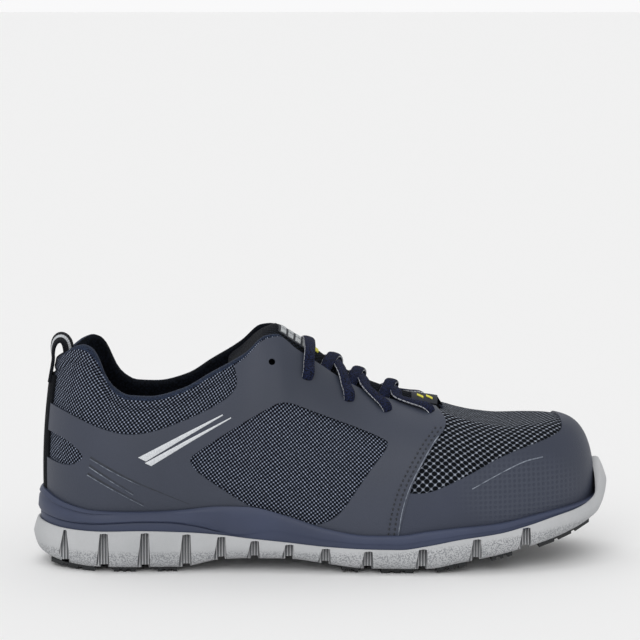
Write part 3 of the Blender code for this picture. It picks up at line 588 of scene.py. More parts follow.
def textured(name, kind, grain, dark, light, depth=None, **sockets):
    """A finish between two dyes over a fine texture, with its strength and depth of relief."""
    made = finish(name, **sockets)
    place = add(made, "TexCoord")[3]
    texture = add(made, kind, {"Vector": place, **grain})[int(kind == "TexWave")]
    wire(made, "Base Color", ramp(made, texture, dark, light))
    if depth:
        wire(made, "Normal", relief(made, *depth, texture))
    return made


def knit(name, pitch, turn, stretch, thread, hole, gap, depth):
    """An open knit of threads round dark cells, laid out on the cloth map in metres."""
    made = finish(name, Roughness=0.85, Specular_IOR_Level=0.12)
    cloth = add(made, "UVMap", uv_map="cloth")[0]
    placed = add(
        made,
        "Mapping",
        {"Vector": cloth, "Rotation": (0, 0, math.radians(turn)), "Scale": (1 / pitch, stretch / pitch, 1)},
    )[0]
    wander = add(made, "TexNoise", {"Vector": cloth, "Scale": 260.0, "Detail": 1.0})[1]
    moved = add(made, "MixRGB", {0: 0.035, 1: placed, 2: wander}, blend_type="LINEAR_LIGHT")[0]
    even = {"Vector": moved, "Scale": 1.0, "Randomness": 0.0}
    cells = add(made, "TexVoronoi", even, voronoi_dimensions="2D")
    open_cell = ranged(made, cells[0], gap, gap + 0.16, 0.0, 1.0, smooth=True)
    heather = noise(made, cloth, 900.0, 2.0)
    # The yarn is painted lighter at the thread crossings, a painted highlight on the raised yarn, and near
    # black in the open cells, partly the dark backing seen through them and partly painted shade.
    yarn = ramp(made, cells[0], (gap, dye(hole)), (gap + 0.14, dye(thread[0])), (0.64, dye(thread[1])))
    worn = ranged(made, heather, 0.35, 0.75, 0.0, 0.7)
    wire(made, "Base Color", add(made, "MixRGB", {0: worn, 1: yarn, 2: dye(hole)})[0])
    strand = reckon(made, "MULTIPLY", open_cell, heather)
    raised = reckon(made, "ADD", open_cell, strand)
    wire(made, "Normal", relief(made, 0.9, depth, raised))
    return made


# The second thread dye of each mesh is the painted highlight at the crossings.
side_mesh = knit("side mesh", 0.00150, 40, 1.0, ("3c455b", "b6bfd2"), "05070c", 0.32, 0.0005)
vamp_mesh = knit("vamp mesh", 0.0029, 38, 1.12, ("353c49", "b8bfcc"), "05070b", 0.31, 0.0010)

collar_cloth = textured(
    "heather collar cloth",
    "TexNoise",
    {"Scale": 2600.0, "Detail": 2.0},
    (0.38, dye("0c101a")),
    (0.62, dye("2f3a50")),
    (0.6, 0.0003),
    Roughness=0.9,
    Sheen_Weight=0.05,
    Specular_IOR_Level=0.15,
)

lining = textured(
    "near black lining",
    "TexVoronoi",
    {"Scale": 900.0},
    (0.1, dye("10141d")),
    (0.7, dye("04060a")),
    (0.7, 0.0004),
    Roughness=0.95,
    Specular_IOR_Level=0.1,
)

# A shallow seam runs round under the collar's rim, with a soft swell above it
padded = LAST.padding / COLLAR_PADDING
outside = []
for t in np.concatenate((np.linspace(0, 0.88, 40), np.linspace(0.885, 0.985, 16))):
    trough = COLLAR_SEAM * math.exp(-(((t - 0.93) / 0.010) ** 2))
    swell = COLLAR_SEAM / 2 * math.exp(-(((t - 0.96) / 0.014) ** 2))
    outside.append(LAST.skin(t, padded * (swell - trough)))
rim_centre = LAST.skin(1.0, -wall_at(1.0) / 2)
rim_out, rim_up = LAST.normals(1.0)
half_wall = (wall_at(1.0) / 2)[:, None]
roll = [
    rim_centre + rim_out * half_wall * math.cos(a) + rim_up * half_wall * 0.8 * math.sin(a)
    for a in np.radians(np.linspace(0, 180, 9))
]
inside = [LAST.skin(t, -wall_at(t)) for t in np.linspace(1, 0, 26)[1:]]
rings = np.array(outside + roll + inside)
closed = np.concatenate((rings, rings[:1]))
closed = np.concatenate((closed, closed[:, :1]), axis=1)
# The side cloth is laid out along the skin, and the vamp cloth flat from the ridge down
side_map = np.stack(
    (
        np.broadcast_to(run_along(closed[20]), closed.shape[:2]),
        np.array([run_along(column) for column in closed.transpose(1, 0, 2)]).T,
    ),
    2,
)
x, y, z = closed.transpose(2, 0, 1)
drop = topline_z(x) - z
vamp_map = np.stack((x + 0.1 * drop, np.sign(y) * (np.abs(y) + 0.75 * np.maximum(drop, 0))), 2)
cloth = np.where((share_of(x) > VAMP_FROM)[:, :, None], vamp_map, side_map)
zones = np.where(share_of((x[:-1, :-1] + x[1:, 1:]) / 2) > VAMP_FROM, 1, 0)
zones[len(outside) : len(outside) + COLLAR_ROLL] = 2
zones[len(outside) + COLLAR_ROLL :] = 3
upper = piece(
    "upper_sock",
    lofted(rings, looped=True, cloth=cloth, zones=zones),
    (side_mesh, vamp_mesh, collar_cloth, lining),
    ("upper",),
)
cut(upper, eyelet_pins(), "DIFFERENCE")

# Overlays
# Smooth slate film is heat pressed over the mesh: one piece wraps the toe box, and one on each
# side carries the eyestay, the heel and the frame of the side window.
OVERLAY = 0.0009
FILM_ROOT = 0.0003
STRIP_WIDTH = 0.018
STUDS_MIDDLE = (0.0985, 0.0, 0.0405)
STUDS_REACH = (0.036, 0.021)

# Outlines seen from the side: along, then height, in shares of LENGTH and BACK_HEIGHT
QUARTER_OUTLINE = (
    (0.709, 0.664), (0.690, 0.722), (0.680, 0.760), (0.677, 1.300), (0.343, 1.300),
    (0.342, 0.942), (0.351, 0.850), (0.337, 0.790), (0.287, 0.716), (0.212, 0.640),
    (0.163, 0.622), (0.115, 0.654), (0.050, 0.731), (-0.050, 0.790), (-0.050, 0.120),
    (0.616, 0.080), (0.617, 0.177), (0.6365, 0.380), (0.655, 0.476), (0.6795, 0.580),
)
SIDE_WINDOW = (
    (0.258, 0.500), (0.290, 0.568), (0.400, 0.742), (0.428, 0.774), (0.471, 0.728),
    (0.598, 0.602), (0.605, 0.570), (0.566, 0.451), (0.501, 0.190), (0.395, 0.255),
    (0.318, 0.380),
)
HEEL_WINDOW = (
    (-0.050, 0.640), (0.028, 0.618), (0.050, 0.606), (0.072, 0.574), (0.090, 0.528),
    (0.080, 0.495), (0.065, 0.478), (0.045, 0.478), (-0.050, 0.540),
)
TOE_OUTLINE = (
    (0.600, -0.100), (0.600, 0.080), (0.602, 0.178), (0.612, 0.362), (0.634, 0.366),
    (0.650, 0.362), (0.674, 0.369), (0.714, 0.414), (0.747, 0.453), (0.784, 0.503),
    (0.828, 0.542), (0.870, 0.569), (0.900, 0.592), (0.914, 0.618), (0.915, 0.900),
    (1.100, 0.900), (1.100, -0.100),
)


def softened(points, turns=3):
    """A closed outline with its corners cut soft."""
    points = np.array(points, float)
    for _ in range(turns):
        after = np.roll(points, -1, 0)
        points = np.stack((points * 0.75 + after * 0.25, points * 0.25 + after * 0.75), 1).reshape(-1, 2)
    return points


def prism(made, profile, low_y, high_y):
    """A closed bar with an upright profile of (x, z), from low_y to high_y."""
    face = made.faces.new([made.verts.new((x, low_y, z)) for x, z in profile])
    walls = bmesh.ops.extrude_face_region(made, geom=[face])
    moved = [item for item in walls["geom"] if isinstance(item, bmesh.types.BMVert)]
    bmesh.ops.translate(made, verts=moved, vec=(0, high_y - low_y, 0))


def die(outline, low_y=-BALL_WIDTH, high_y=BALL_WIDTH):
    """A press die with a side-view outline, reaching from low_y to high_y."""
    made = bmesh.new()
    profile = [(float(along_x(a)), h * BACK_HEIGHT) for a, h in softened(outline)]
    prism(made, profile, low_y, high_y)
    return made


def film_grain(made):
    """The place, fine grain and faint clouds of a pressed film."""
    place = add(made, "TexCoord")[3]
    grain = add(made, "TexVoronoi", {"Vector": place, "Scale": 1500.0})[0]
    return place, grain, noise(made, place, 14.0, 3.0)


film = finish("slate film", Roughness=0.5, Specular_IOR_Level=0.36)
_, grain, clouds = film_grain(film)
wire(film, "Base Color", ramp(film, clouds, (0.3, dye("353a46")), (0.7, dye("3d4250"))))
wire(film, "Roughness", ranged(film, clouds, 0.3, 0.7, 0.44, 0.56))
wire(film, "Normal", relief(film, 0.35, 0.0002, grain))

toe_film = finish("embossed toe film", Roughness=0.5, Specular_IOR_Level=0.26)
spot, grain, clouds = film_grain(toe_film)
parts = add(toe_film, "SeparateXYZ", [spot])
side_on = add(toe_film, "CombineXYZ", [parts[0], parts[2]])[0]
rows = {"Vector": side_on, "Scale": 390.0, "Randomness": 0.0}
studs = add(toe_film, "TexVoronoi", rows, voronoi_dimensions="2D")[0]
stud = ranged(toe_film, studs, 0.25, 0.42, 0.0, 1.0, smooth=True)
from_middle = add(toe_film, "VectorMath", [spot, STUDS_MIDDLE], operation="SUBTRACT")[0]
per_reach = (1 / STUDS_REACH[0], 0.0, 1 / STUDS_REACH[1])
squeezed = add(toe_film, "VectorMath", [from_middle, per_reach], operation="MULTIPLY")[0]
reach = add(toe_film, "VectorMath", [squeezed], operation="LENGTH")[1]
fade = ranged(toe_film, reach, 0.45, 1.1, 1.0, 0.0, smooth=True)
pressed = reckon(toe_film, "MULTIPLY", stud, fade)
base = ramp(toe_film, clouds, (0.3, dye("343945")), (0.7, dye("3c4150")))
wire(toe_film, "Base Color", add(toe_film, "MixRGB", {0: pressed, 1: base, 2: dye("424754")})[0])
low_relief = relief(toe_film, 0.55, 0.0004, pressed)
wire(toe_film, "Normal", relief(toe_film, 0.35, 0.0002, grain, Normal=low_relief))


def film_shell(high, proud):
    """A thin wall on the upper, from its foot to the share high."""
    shares = np.linspace(0, high, 42)
    over = [LAST.skin(t, proud) for t in shares]
    return lofted(over + [LAST.skin(t, -FILM_ROOT) for t in shares[::-1]], looped=True)


shell = film_shell(0.92, OVERLAY + 0.0002)
toe_piece = piece("toe_wrap", shell, (toe_film,), ("toe_overlay",))
cut(toe_piece, die(TOE_OUTLINE), "INTERSECT")
quarters = {}
for label, side in (("outer", -1), ("inner", 1)):
    shell = film_shell(0.99, OVERLAY + 0.0006)
    node = f"quarter_overlay_{label}"
    quarter = piece(f"quarter_{label}", shell, (film,), (node,))
    low_y, high_y = sorted((side * BALL_WIDTH, side * STRIP_WIDTH * 0.35))
    cut(quarter, die(QUARTER_OUTLINE, low_y, high_y), "INTERSECT")
    for blank in (die(SIDE_WINDOW), die(HEEL_WINDOW), eyelet_pins()):
        cut(quarter, blank, "DIFFERENCE")
    quarters[side] = quarter

# Trims on the overlays
# Two rows of lockstitch hold the front edge of each quarter. Silver reflective tape and
# pressed creases run up from the heel. The creases are dark strips of painted shade, each with
# a pale strip of painted highlight just below it; pale strips of painted highlight also line
# each quarter's front edge and a fine pressed line on the toe wrap.


def tree_of(shaped):
    return BVHTree.FromObject(shaped, bpy.context.evaluated_depsgraph_get())


def onto(tree, along, height, side):
    """The place and normal on a side's skin at a share of the length and of the height."""
    start = Vector((float(along_x(along)), side * 0.2, float(height) * BACK_HEIGHT))
    place, normal, _, _ = tree.ray_cast(start, Vector((0, -side, 0)))
    if place is None:
        return None
    return np.array(place), np.array(normal if normal.y * side > 0 else -normal)


def path_through(rows, count):
    """Evenly spaced points on a smooth open path through rows."""
    rows = np.array(rows, float)
    lift = np.concatenate(([2 * rows[0] - rows[1]], rows, [2 * rows[-1] - rows[-2]]))
    points = []
    for i in range(len(rows) - 1):
        a, b, c, d = lift[i : i + 4]
        for f in np.linspace(0, 1, 24, endpoint=False):
            bend = (2 * a - 5 * b + 4 * c - d) * f**2 + (3 * b - a - 3 * c + d) * f**3
            points.append(0.5 * (2 * b + (c - a) * f + bend))
    points.append(rows[-1])
    points = np.array(points)
    run = run_along(points)
    even = np.linspace(0, run[-1], count)
    return np.stack([np.interp(even, run, points[:, k]) for k in range(points.shape[1])], 1)


SIDE_SCALE = np.array((LENGTH, BACK_HEIGHT))


def tape_on(tree, side, rows, widths, thick, steps=28, slant=0.0):
    """A thin tape laid along a side-view path; widths are (start, end) in metres."""
    path = path_through(np.array(rows) * SIDE_SCALE, steps)
    run = unit(np.gradient(path, axis=0))
    across_path = np.stack((-run[:, 1], run[:, 0]), 1)
    rings = []
    for k, (point, way) in enumerate(zip(path, across_path)):
        f = k / (steps - 1)
        half = (widths[0] * (1 - f) + widths[1] * f) / 2
        low, top = [], []
        for share in (-1, -0.5, 0, 0.5, 1):
            a, h = (point + way * half * share - run[k] * half * share * slant * (1 - f)) / SIDE_SCALE
            hit = onto(tree, a, h, side)
            if hit is None:
                break
            place, normal = hit
            crown = 1 - 0.35 * abs(share) ** 4
            low.append(place - normal * FILM_ROOT)
            top.append(place + normal * thick * crown)
        if len(top) == 5:
            rings.append(low + top[::-1])
    return lofted(rings, caps=True)


def stitches_on(made, tree, side, rows, pitch, length, width):
    """Lockstitches along a side-view path, each a small capsule lying on the skin."""
    rows = np.array(rows) * SIDE_SCALE
    count = int(run_along(path_through(rows, 400))[-1] / pitch)
    path = path_through(rows, count) / SIDE_SCALE
    for here, there in zip(path, path[1:]):
        first, second = onto(tree, *here, side), onto(tree, *there, side)
        if first is None or second is None:
            continue
        (a, normal), (b, _) = first, second
        way = Vector(b - a)
        if way.length > pitch * 2.5 or way.length < 1e-5:
            continue
        out = Vector(normal)
        beside = way.normalized().cross(out).normalized()
        out = beside.cross(way.normalized())
        turn = Matrix((way.normalized(), beside, out)).transposed().to_4x4()
        size = Matrix.Diagonal((length / 2, width / 2, width * 0.4, 1))
        place = Matrix.Translation(Vector((a + b) / 2) + out * width * 0.12)
        bmesh.ops.create_uvsphere(made, u_segments=6, v_segments=4, radius=1, matrix=place @ turn @ size)


thread = textured(
    "navy thread",
    "TexWave",
    {"Scale": 900.0, "Distortion": 2.0},
    (0.2, dye("0c0f15")),
    (0.8, dye("232936")),
    (0.5, 0.0001),
    Roughness=0.7,
    Sheen_Weight=0.2,
)

tape = textured(
    "silver reflective tape",
    "TexVoronoi",
    {"Scale": 2400.0},
    (0.1, dye("e2e4e7")),
    (0.8, dye("bcc0c5")),
    (0.3, 0.0001),
    Metallic=0.1,
    Roughness=0.4,
)

# A dark painted shade, laid as thin strips in the pressed creases.
rub = {"Scale": 300.0, "Detail": 3.0}
dark, light = (0.3, dye("23272f")), (0.7, dye("2f343e"))
crease_shade = textured("pressed crease", "TexNoise", rub, dark, light, Roughness=0.7)

# A pale painted highlight, laid as thin strips where the quarters' front edges and the pressed creases
# catch the light.
rub = {"Scale": 400.0, "Detail": 3.0}
dark, light = (0.35, dye("4c5361")), (0.65, dye("868d99"))
edge_highlight = textured("painted edge highlight", "TexNoise", rub, dark, light, Roughness=0.55)

FRONT_SEAM = (
    (0.7045, 0.650), (0.679, 0.578), (0.654, 0.476), (0.6355, 0.380), (0.6235, 0.277), (0.616, 0.150),
)
STITCH_ROWS = (0.0080, 0.0175)
STITCH_PITCH, STITCH_LENGTH, STITCH_WIDTH = 0.0024, 0.0016, 0.0011
TAPES = (
    (((0.1873, 0.518), (0.2555, 0.616), (0.3236, 0.711)), (0.0036, 0.0006)),
    (((0.1972, 0.495), (0.2675, 0.599), (0.3376, 0.698)), (0.0029, 0.0005)),
)
CREASES = (
    ((0.1006, 0.525), (0.140, 0.466), (0.1846, 0.406), (0.2666, 0.311)),
    ((0.0986, 0.488), (0.136, 0.425), (0.1726, 0.365)),
    ((0.0956, 0.451), (0.140, 0.385), (0.1896, 0.314)),
)
TOE_CREASE = ((0.742, 0.381), (0.785, 0.437), (0.832, 0.487), (0.868, 0.503))
toe_tree = tree_of(toe_piece)
seams = bmesh.new()
for side, label in ((-1, "outer"), (1, "inner")):
    tree = tree_of(quarters[side])
    for setback in STITCH_ROWS:
        row = [(a - setback, h) for a, h in FRONT_SEAM]
        stitches_on(seams, tree, side, row, STITCH_PITCH, STITCH_LENGTH, STITCH_WIDTH)
    # A pale strip of painted highlight just behind the quarter's front edge, where its cut edge catches the
    # light.
    edge_row = [(a - 0.0008, h) for a, h in FRONT_SEAM]
    edge = tape_on(tree, side, edge_row, (0.0006, 0.0004), 0.0002, steps=40)
    trims = [(f"front_edge_highlight_{label}", edge, edge_highlight)]
    for number, (rows, widths) in enumerate(TAPES, 1):
        strip = tape_on(tree, side, rows, widths, 0.00035, slant=0.7)
        trims.append((f"reflective_tape_{label}_{number}", strip, tape))
    for number, rows in enumerate(CREASES, 1):
        # Each of the pressed creases is a dark strip of painted shade, with a pale strip of painted
        # highlight just below it on its lit lower edge.
        trough = tape_on(tree, side, rows, (0.0011, 0.0002), 0.0001)
        trims.append((f"pressed_line_shade_{label}_{number}", trough, crease_shade))
        highlight_row = [(a - 0.0008, h - 0.0075) for a, h in rows[:3]]
        ridge = tape_on(tree, side, highlight_row, (0.0005, 0.0002), 0.0003)
        trims.append((f"pressed_ridge_{label}_{number}", ridge, edge_highlight))
    # A pale strip of painted highlight along a fine pressed line on the toe wrap.
    toe_line_highlight = tape_on(toe_tree, side, TOE_CREASE, (0.0005, 0.0006), 0.00025)
    trims.append((f"toe_line_highlight_{label}", toe_line_highlight, edge_highlight))
    for name, made, material in trims:
        piece(name, made, (material,))
piece("quarter_stitching", seams, (thread,))

# Midsole
# A navy foam band is cemented between the mesh and the grey foam. It has a moulded step that
# runs from the heel and dies out at the arch.
RIM = 0.0024
LIP = 0.0013
BUMPER = 0.0028
CLEARANCE = 0.0003
SOLE_ROUNDING = 0.0060

navy_foam = finish("navy foam", Roughness=0.52, Specular_IOR_Level=0.4)
spot = add(navy_foam, "TexCoord")[3]
clouds = noise(navy_foam, spot, 22.0, 3.0)
pores = noise(navy_foam, spot, 1400.0, 2.0)
wire(navy_foam, "Base Color", ramp(navy_foam, clouds, (0.3, dye("31384d")), (0.7, dye("3b435b"))))
wire(navy_foam, "Roughness", ranged(navy_foam, clouds, 0.3, 0.7, 0.45, 0.6))
wire(navy_foam, "Normal", relief(navy_foam, 0.3, 0.0002, pores))


def spine_rings(ring, shares):
    """Rings that close a loop of sections in towards its middle line."""
    count = len(ring)
    twin = ring[(-np.arange(count)) % count]
    middle = (ring + twin) / 2
    return [ring * (1 - s) + middle * s for s in shares]


def off_skin():
    return CLEARANCE * 1.3 + OVERLAY + CLEARANCE * 1.5


x = LAST.foot[:, 0]
seat, lip, rim = seat_z(x), lip_z(x), rim_z(x)
base = np.minimum(lip, rim - 0.0012)
rise = rim - base
out = off_skin() + RIM
swell = np.clip((rim - lip) / 0.004, 0, 1)
# Where the step's fold runs, as a share of the band's height, against the length
STEP_FOLD = (
    (0.000, 0.22), (0.070, 0.28), (0.110, 0.34), (0.190, 0.45), (0.227, 0.43),
    (0.274, 0.28), (0.318, 0.08), (0.340, 0.05), (0.420, 0.36), (1.000, 0.36),
)
fold = smooth_table(STEP_FOLD, 1, share_of(x))
stepped = np.clip((0.335 - share_of(x)) / 0.03, 0, 1) * swell
at_heel = np.clip((0.15 - share_of(x)) / 0.05, 0, 1) * swell
# Place below or above the fold, then the swell of the stepped band and of the plain band
PROFILE = (
    (-0.7, 0.0, 0.0),
    (-0.35, 0.0, 0.0),
    (-0.1, -0.0002, 0.0001),
    (0.0, -0.0006, 0.0002),
    (0.05, 0.0006, 0.0003),
    (0.16, 0.0011, 0.0003),
    (0.38, 0.0008, 0.0003),
    (0.60, 0.0004, 0.0001),
    (0.70, 0.0003, 0.0000),
    (0.75, 0.0002, -0.0001),
    (0.80, 0.0002, -0.0002),
    (0.92, -0.0004, -0.0006),
    (1.0, -0.0013, -0.0012),
)
band = [LAST.wall_ring(seat + CLEARANCE, out), LAST.wall_ring(base, out)]
for place, bold, plain in PROFILE:
    share = fold * (1 + place) if place < 0 else fold + (1 - fold) * place
    lift = out + stepped * bold + (1 - stepped) * plain
    if 0.69 < place < 0.76:
        lift = lift - at_heel * 0.0007
    band.append(LAST.wall_ring(base + rise * share, lift))
band.append(LAST.wall_ring(rim - 0.0002, off_skin() - 0.0006))
low_ring = LAST.wall_ring(LAST.floor - CLEARANCE, off_skin() - 0.0006)
floor_rings = spine_rings(low_ring, (0, 0.3, 0.65, 1.0))
seat_rings = spine_rings(band[0], (1.0, 0.65, 0.3))
piece("midsole_band", lofted(seat_rings + band + floor_rings), (navy_foam,), ("midsole",))

# Outsole
# The grey foam cup is moulded in blocks, parted by wedge notches with ribbed insides that lie in
# shade; the ribs are painted light on their crests and darker in their troughs, as painted light and shade.
# Its lower half is speckled by the mould, and a bumper rises over the toe.
GROOVE_MOUTH = 0.0062
GROOVE_TOP = 0.0040
GROOVE_DEPTH = 0.0046
GROOVE_ROOF = 0.0012
CHANNEL_HEIGHT = 0.0017
BEYOND = 0.02
GROOVES = (0.056, 0.122, 0.191, 0.261, 0.320, 0.376, 0.434, 0.495, 0.566, 0.657, 0.749, 0.835)

grey_foam = finish("grey foam", Roughness=0.78, Specular_IOR_Level=0.3)
spot = add(grey_foam, "TexCoord")[3]
parts = add(grey_foam, "SeparateXYZ", [spot])
specks = noise(grey_foam, spot, 1500.0, 0.5)
speck = ranged(grey_foam, specks, 0.46, 0.58, 0.0, 1.0)
toe_lift = ranged(grey_foam, parts[0], 0.03, 0.14, 0.0, 0.013)
height = reckon(grey_foam, "SUBTRACT", parts[2], toe_lift)
low_half = ranged(grey_foam, height, 0.0095, 0.0125, 1.0, 0.05, smooth=True)
dots = reckon(grey_foam, "MULTIPLY", speck, low_half)
clouds = noise(grey_foam, spot, 30.0, 4.0)
base_grey = ramp(grey_foam, clouds, (0.3, dye("afb1b3")), (0.7, dye("bebfc1")))
wire(grey_foam, "Base Color", add(grey_foam, "MixRGB", {0: dots, 1: base_grey, 2: dye("8c8e91")})[0])
cells = noise(grey_foam, spot, 1300.0, 3.0)
rough_low = reckon(grey_foam, "MULTIPLY", cells, low_half)
wire(grey_foam, "Normal", relief(grey_foam, 0.25, 0.0003, rough_low))

notch = finish("ribbed notch", Roughness=0.85)
spot = add(notch, "TexCoord")[3]
parts = add(notch, "SeparateXYZ", [spot])
# The ribs set both the colour and the relief: they paint light on each crest and shade in each trough, as
# painted light and shade on the flutes.
ribs = reckon(notch, "SINE", reckon(notch, "MULTIPLY", parts[0], 4200.0))
wire(notch, "Base Color", ramp(notch, ribs, (0.15, dye("77797c")), (0.85, dye("c9cacc"))))
wire(notch, "Normal", relief(notch, 0.8, 0.0005, ribs))

bottom = bottom_z(LAST.sole_ring(0, SOLE_ROUNDING)[:, 0])
tall = lip - bottom
inner = off_skin() + RIM + CLEARANCE * 0.3
hug = np.clip((lip - rim - 0.003) / 0.012, 0, 1)
shelf = np.maximum((seat + lip) / 2, np.where(hug > 0, rim + 0.0012, 0))
mouth = inner * (1 - hug) + (OVERLAY - 0.0001) * hug
thick = LIP * (1 - hug) + (BUMPER + 0.0009) * hug
foot_rings = []
for share, inset in (
    (0.0, 1.0),
    (0.012, 0.82),
    (0.05, 0.64),
    (0.10, 0.48),
    (0.18, 0.31),
    (0.32, 0.16),
    (0.45, 0.06),
    (0.58, 0.0),
):
    foot_rings.append(LAST.sole_ring(bottom + tall * share, SOLE_ROUNDING * inset))
lip_ring = LAST.wall_ring(lip, mouth + thick)
start = foot_rings[-1]
for share in (0.25, 0.5, 0.75, 0.94):
    ease = share + 0.10 * math.sin(math.pi * share)
    mix = np.array((share, share, ease))
    foot_rings.append(start * (1 - mix) + lip_ring * mix)
foot_rings.append(LAST.wall_ring(lip, mouth + thick * 0.72))
foot_rings.append(LAST.wall_ring(lip - 0.0001, mouth + thick * 0.3))
foot_rings.append(LAST.wall_ring(lip - 0.0005, mouth))
foot_rings.append(LAST.wall_ring(shelf, inner))
foot_rings.append(LAST.wall_ring(seat, inner))
under_rings = spine_rings(foot_rings[0], (1.0, 0.75, 0.5, 0.25, 0.08))
top_rings = spine_rings(foot_rings[-1], (0.3, 0.65, 1.0))
cup = lofted(under_rings + foot_rings + top_rings)
outsole = piece("outsole_cup", cup, (grey_foam, notch), ("outsole",))

half = LAST.count // 2
outer_edge = LAST.sole[: half + 1, 1]
inner_edge = LAST.sole[np.r_[0, LAST.count - 1 : half - 1 : -1], 1]
side_xs = LAST.sole[: half + 1, 0]
wedges = bmesh.new()
channels = bmesh.new()


for share in GROOVES:
    gx = float(along_x(share))
    roof = float(lip_z(gx)) - GROOVE_ROOF
    low = float(bottom_z(gx))
    m, t = GROOVE_MOUTH / 2, GROOVE_TOP / 2 * (0.4 if share < 0.1 else 1)
    profile = [(-m - 0.0012, -BEYOND), (m - 0.0005, -BEYOND), (m - 0.0005, low), (t, roof)]
    profile += [(0.3 * t, roof + 0.0003), (-t, roof), (-m - 0.0012, low)]
    for edge, way in ((outer_edge, -1), (inner_edge, 1)):
        side_y = float(np.interp(-gx, -side_xs, edge))
        y_ends = (side_y - way * GROOVE_DEPTH, side_y + way * BEYOND)
        prism(wedges, [(gx + px, pz) for px, pz in profile], *y_ends)
    ceiling = low + CHANNEL_HEIGHT
    flat = [(-m * 0.8, -BEYOND), (m * 0.8, -BEYOND), (m * 0.6, ceiling), (-m * 0.6, ceiling)]
    prism(channels, [(gx + px, pz) for px, pz in flat], -BALL_WIDTH, BALL_WIDTH)
for made in (wedges, channels):
    cut(outsole, made, "DIFFERENCE", finishes=(notch,), sharp=32)

# Treads and footbed
# Black nitrile rubber pads are moulded on under the blocks. The footbed is a thin die-cut
# foam with a cloth top, laid in loose.
rubber = finish("black nitrile rubber", Roughness=0.62, Specular_IOR_Level=0.45)
spot = add(rubber, "TexCoord")[3]
scuff = noise(rubber, spot, 160.0, 5.0)
wire(rubber, "Base Color", ramp(rubber, scuff, (0.35, dye("16181a")), (0.75, dye("2e3134"))))
wire(rubber, "Roughness", ranged(rubber, scuff, 0.3, 0.7, 0.5, 0.75))
wire(rubber, "Normal", relief(rubber, 0.4, 0.0003, scuff))

footbed = textured(
    "footbed cloth",
    "TexNoise",
    {"Scale": 1600.0, "Detail": 3.0},
    (0.35, dye("14171d")),
    (0.65, dye("272c36")),
    (0.6, 0.0003),
    Roughness=0.95,
    Sheen_Weight=0.2,
)

for name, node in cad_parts.items():
    if name.startswith("tread_pad"):
        kept = rubber
    elif name == "insole":
        kept = footbed
    else:
        continue
    if not node.material_slots:
        node.data.materials.append(kept)
    for part in node.material_slots:
        part.material = kept

# Tongue
# The tongue is padded spacer mesh, arched up under the laces, with a rounded free end at the
# collar. A woven label and a small tag, both with rows of sewn dashes, lie on it.
TONGUE_THICKNESS = 0.0055
TONGUE_CROWN = 0.0082
TONGUE_TIP = 0.0035
TONGUE_CLEARANCE = 0.0009
CREST_WAY = np.array((0.25, 0.0, 0.97))

# As on the upper, the spacer mesh's second thread dye is a painted highlight at the crossings, and its
# near-black cells are partly painted shade.
spacer = knit("spacer mesh", 0.0017, 45, 1.0, ("0b0e14", "262d3b"), "020305", 0.28, 0.0006)


def tongue_section(pair, drop):
    """Points across the tongue, between one outer section and its inner twin."""
    twin = LAST.count - pair
    ends = LAST.skin(1.0, -(wall_at(1.0) + TONGUE_CLEARANCE) - drop)
    legs = [[], []]
    for t in (0.80, 0.85, 0.90, 0.95, 1.0):
        skin = LAST.skin(t, -(wall_at(t) + TONGUE_CLEARANCE + drop))
        legs[0].append(skin[pair])
        legs[1].append(skin[twin])
    start, end = ends[pair], ends[twin]
    past = max(0.0, (pair - 6.7 * SPOKES) / SPOKES)
    arch = []
    for share in np.linspace(0, 1, 27)[1:-1]:
        crown = (TONGUE_CROWN - 0.0095 * past) * (1 - (2 * share - 1) ** 2)
        arch.append(start + (end - start) * share + CREST_WAY * crown)
    return np.array(legs[0] + arch + legs[1][::-1])


pairs = range(3 * SPOKES, 8 * SPOKES - 2, 2)
tops = np.array([tongue_section(pair, 0.0) for pair in pairs])
lows = np.array([tongue_section(pair, TONGUE_THICKNESS) for pair in pairs])
run = unit((tops[-1] - tops[-3]).mean(0))
tip_middle = (tops[-1] + lows[-1]) / 2
end_tops, end_lows = [], []
for f in (0.3, 0.6, 0.82, 0.95, 1.0):
    slim = math.sqrt(max(0.0, 1 - f * f)) * 0.9 + 0.1
    narrow = np.array((1, 1 - 0.14 * f**2, 1))
    end_tops.append((tip_middle + (tops[-1] - tip_middle) * slim) * narrow + run * TONGUE_TIP * f)
    end_lows.append((tip_middle + (lows[-1] - tip_middle) * slim) * narrow + run * TONGUE_TIP * f)
tops = np.concatenate((tops, end_tops))
lows = np.concatenate((lows, end_lows))
tongue_rings = np.concatenate((tops, lows[:, ::-1]), axis=1)
tongue = piece("padded_tongue", lofted(tongue_rings, caps=True), (spacer,), ("tongue",))

label_cloth = textured(
    "woven label",
    "TexWave",
    {"Scale": 700.0, "Distortion": 0.5},
    (0.2, dye("15181f")),
    (0.8, dye("232833")),
    (0.5, 0.0002),
    Roughness=0.8,
    Sheen_Weight=0.1,
)
fuzz = {"Scale": 1500.0, "Detail": 2.0}
dark, light = (0.35, dye("8f9396")), (0.65, dye("c3c6c8"))
pale_yarn = textured("pale yarn", "TexNoise", fuzz, dark, light, Roughness=0.75)
dark, light = (0.35, dye("c6bd35")), (0.65, dye("e6e05a"))
yellow_yarn = textured("yellow yarn", "TexNoise", fuzz, dark, light, Roughness=0.7)

tongue_along = share_of(tops[:, tops.shape[1] // 2, 0])


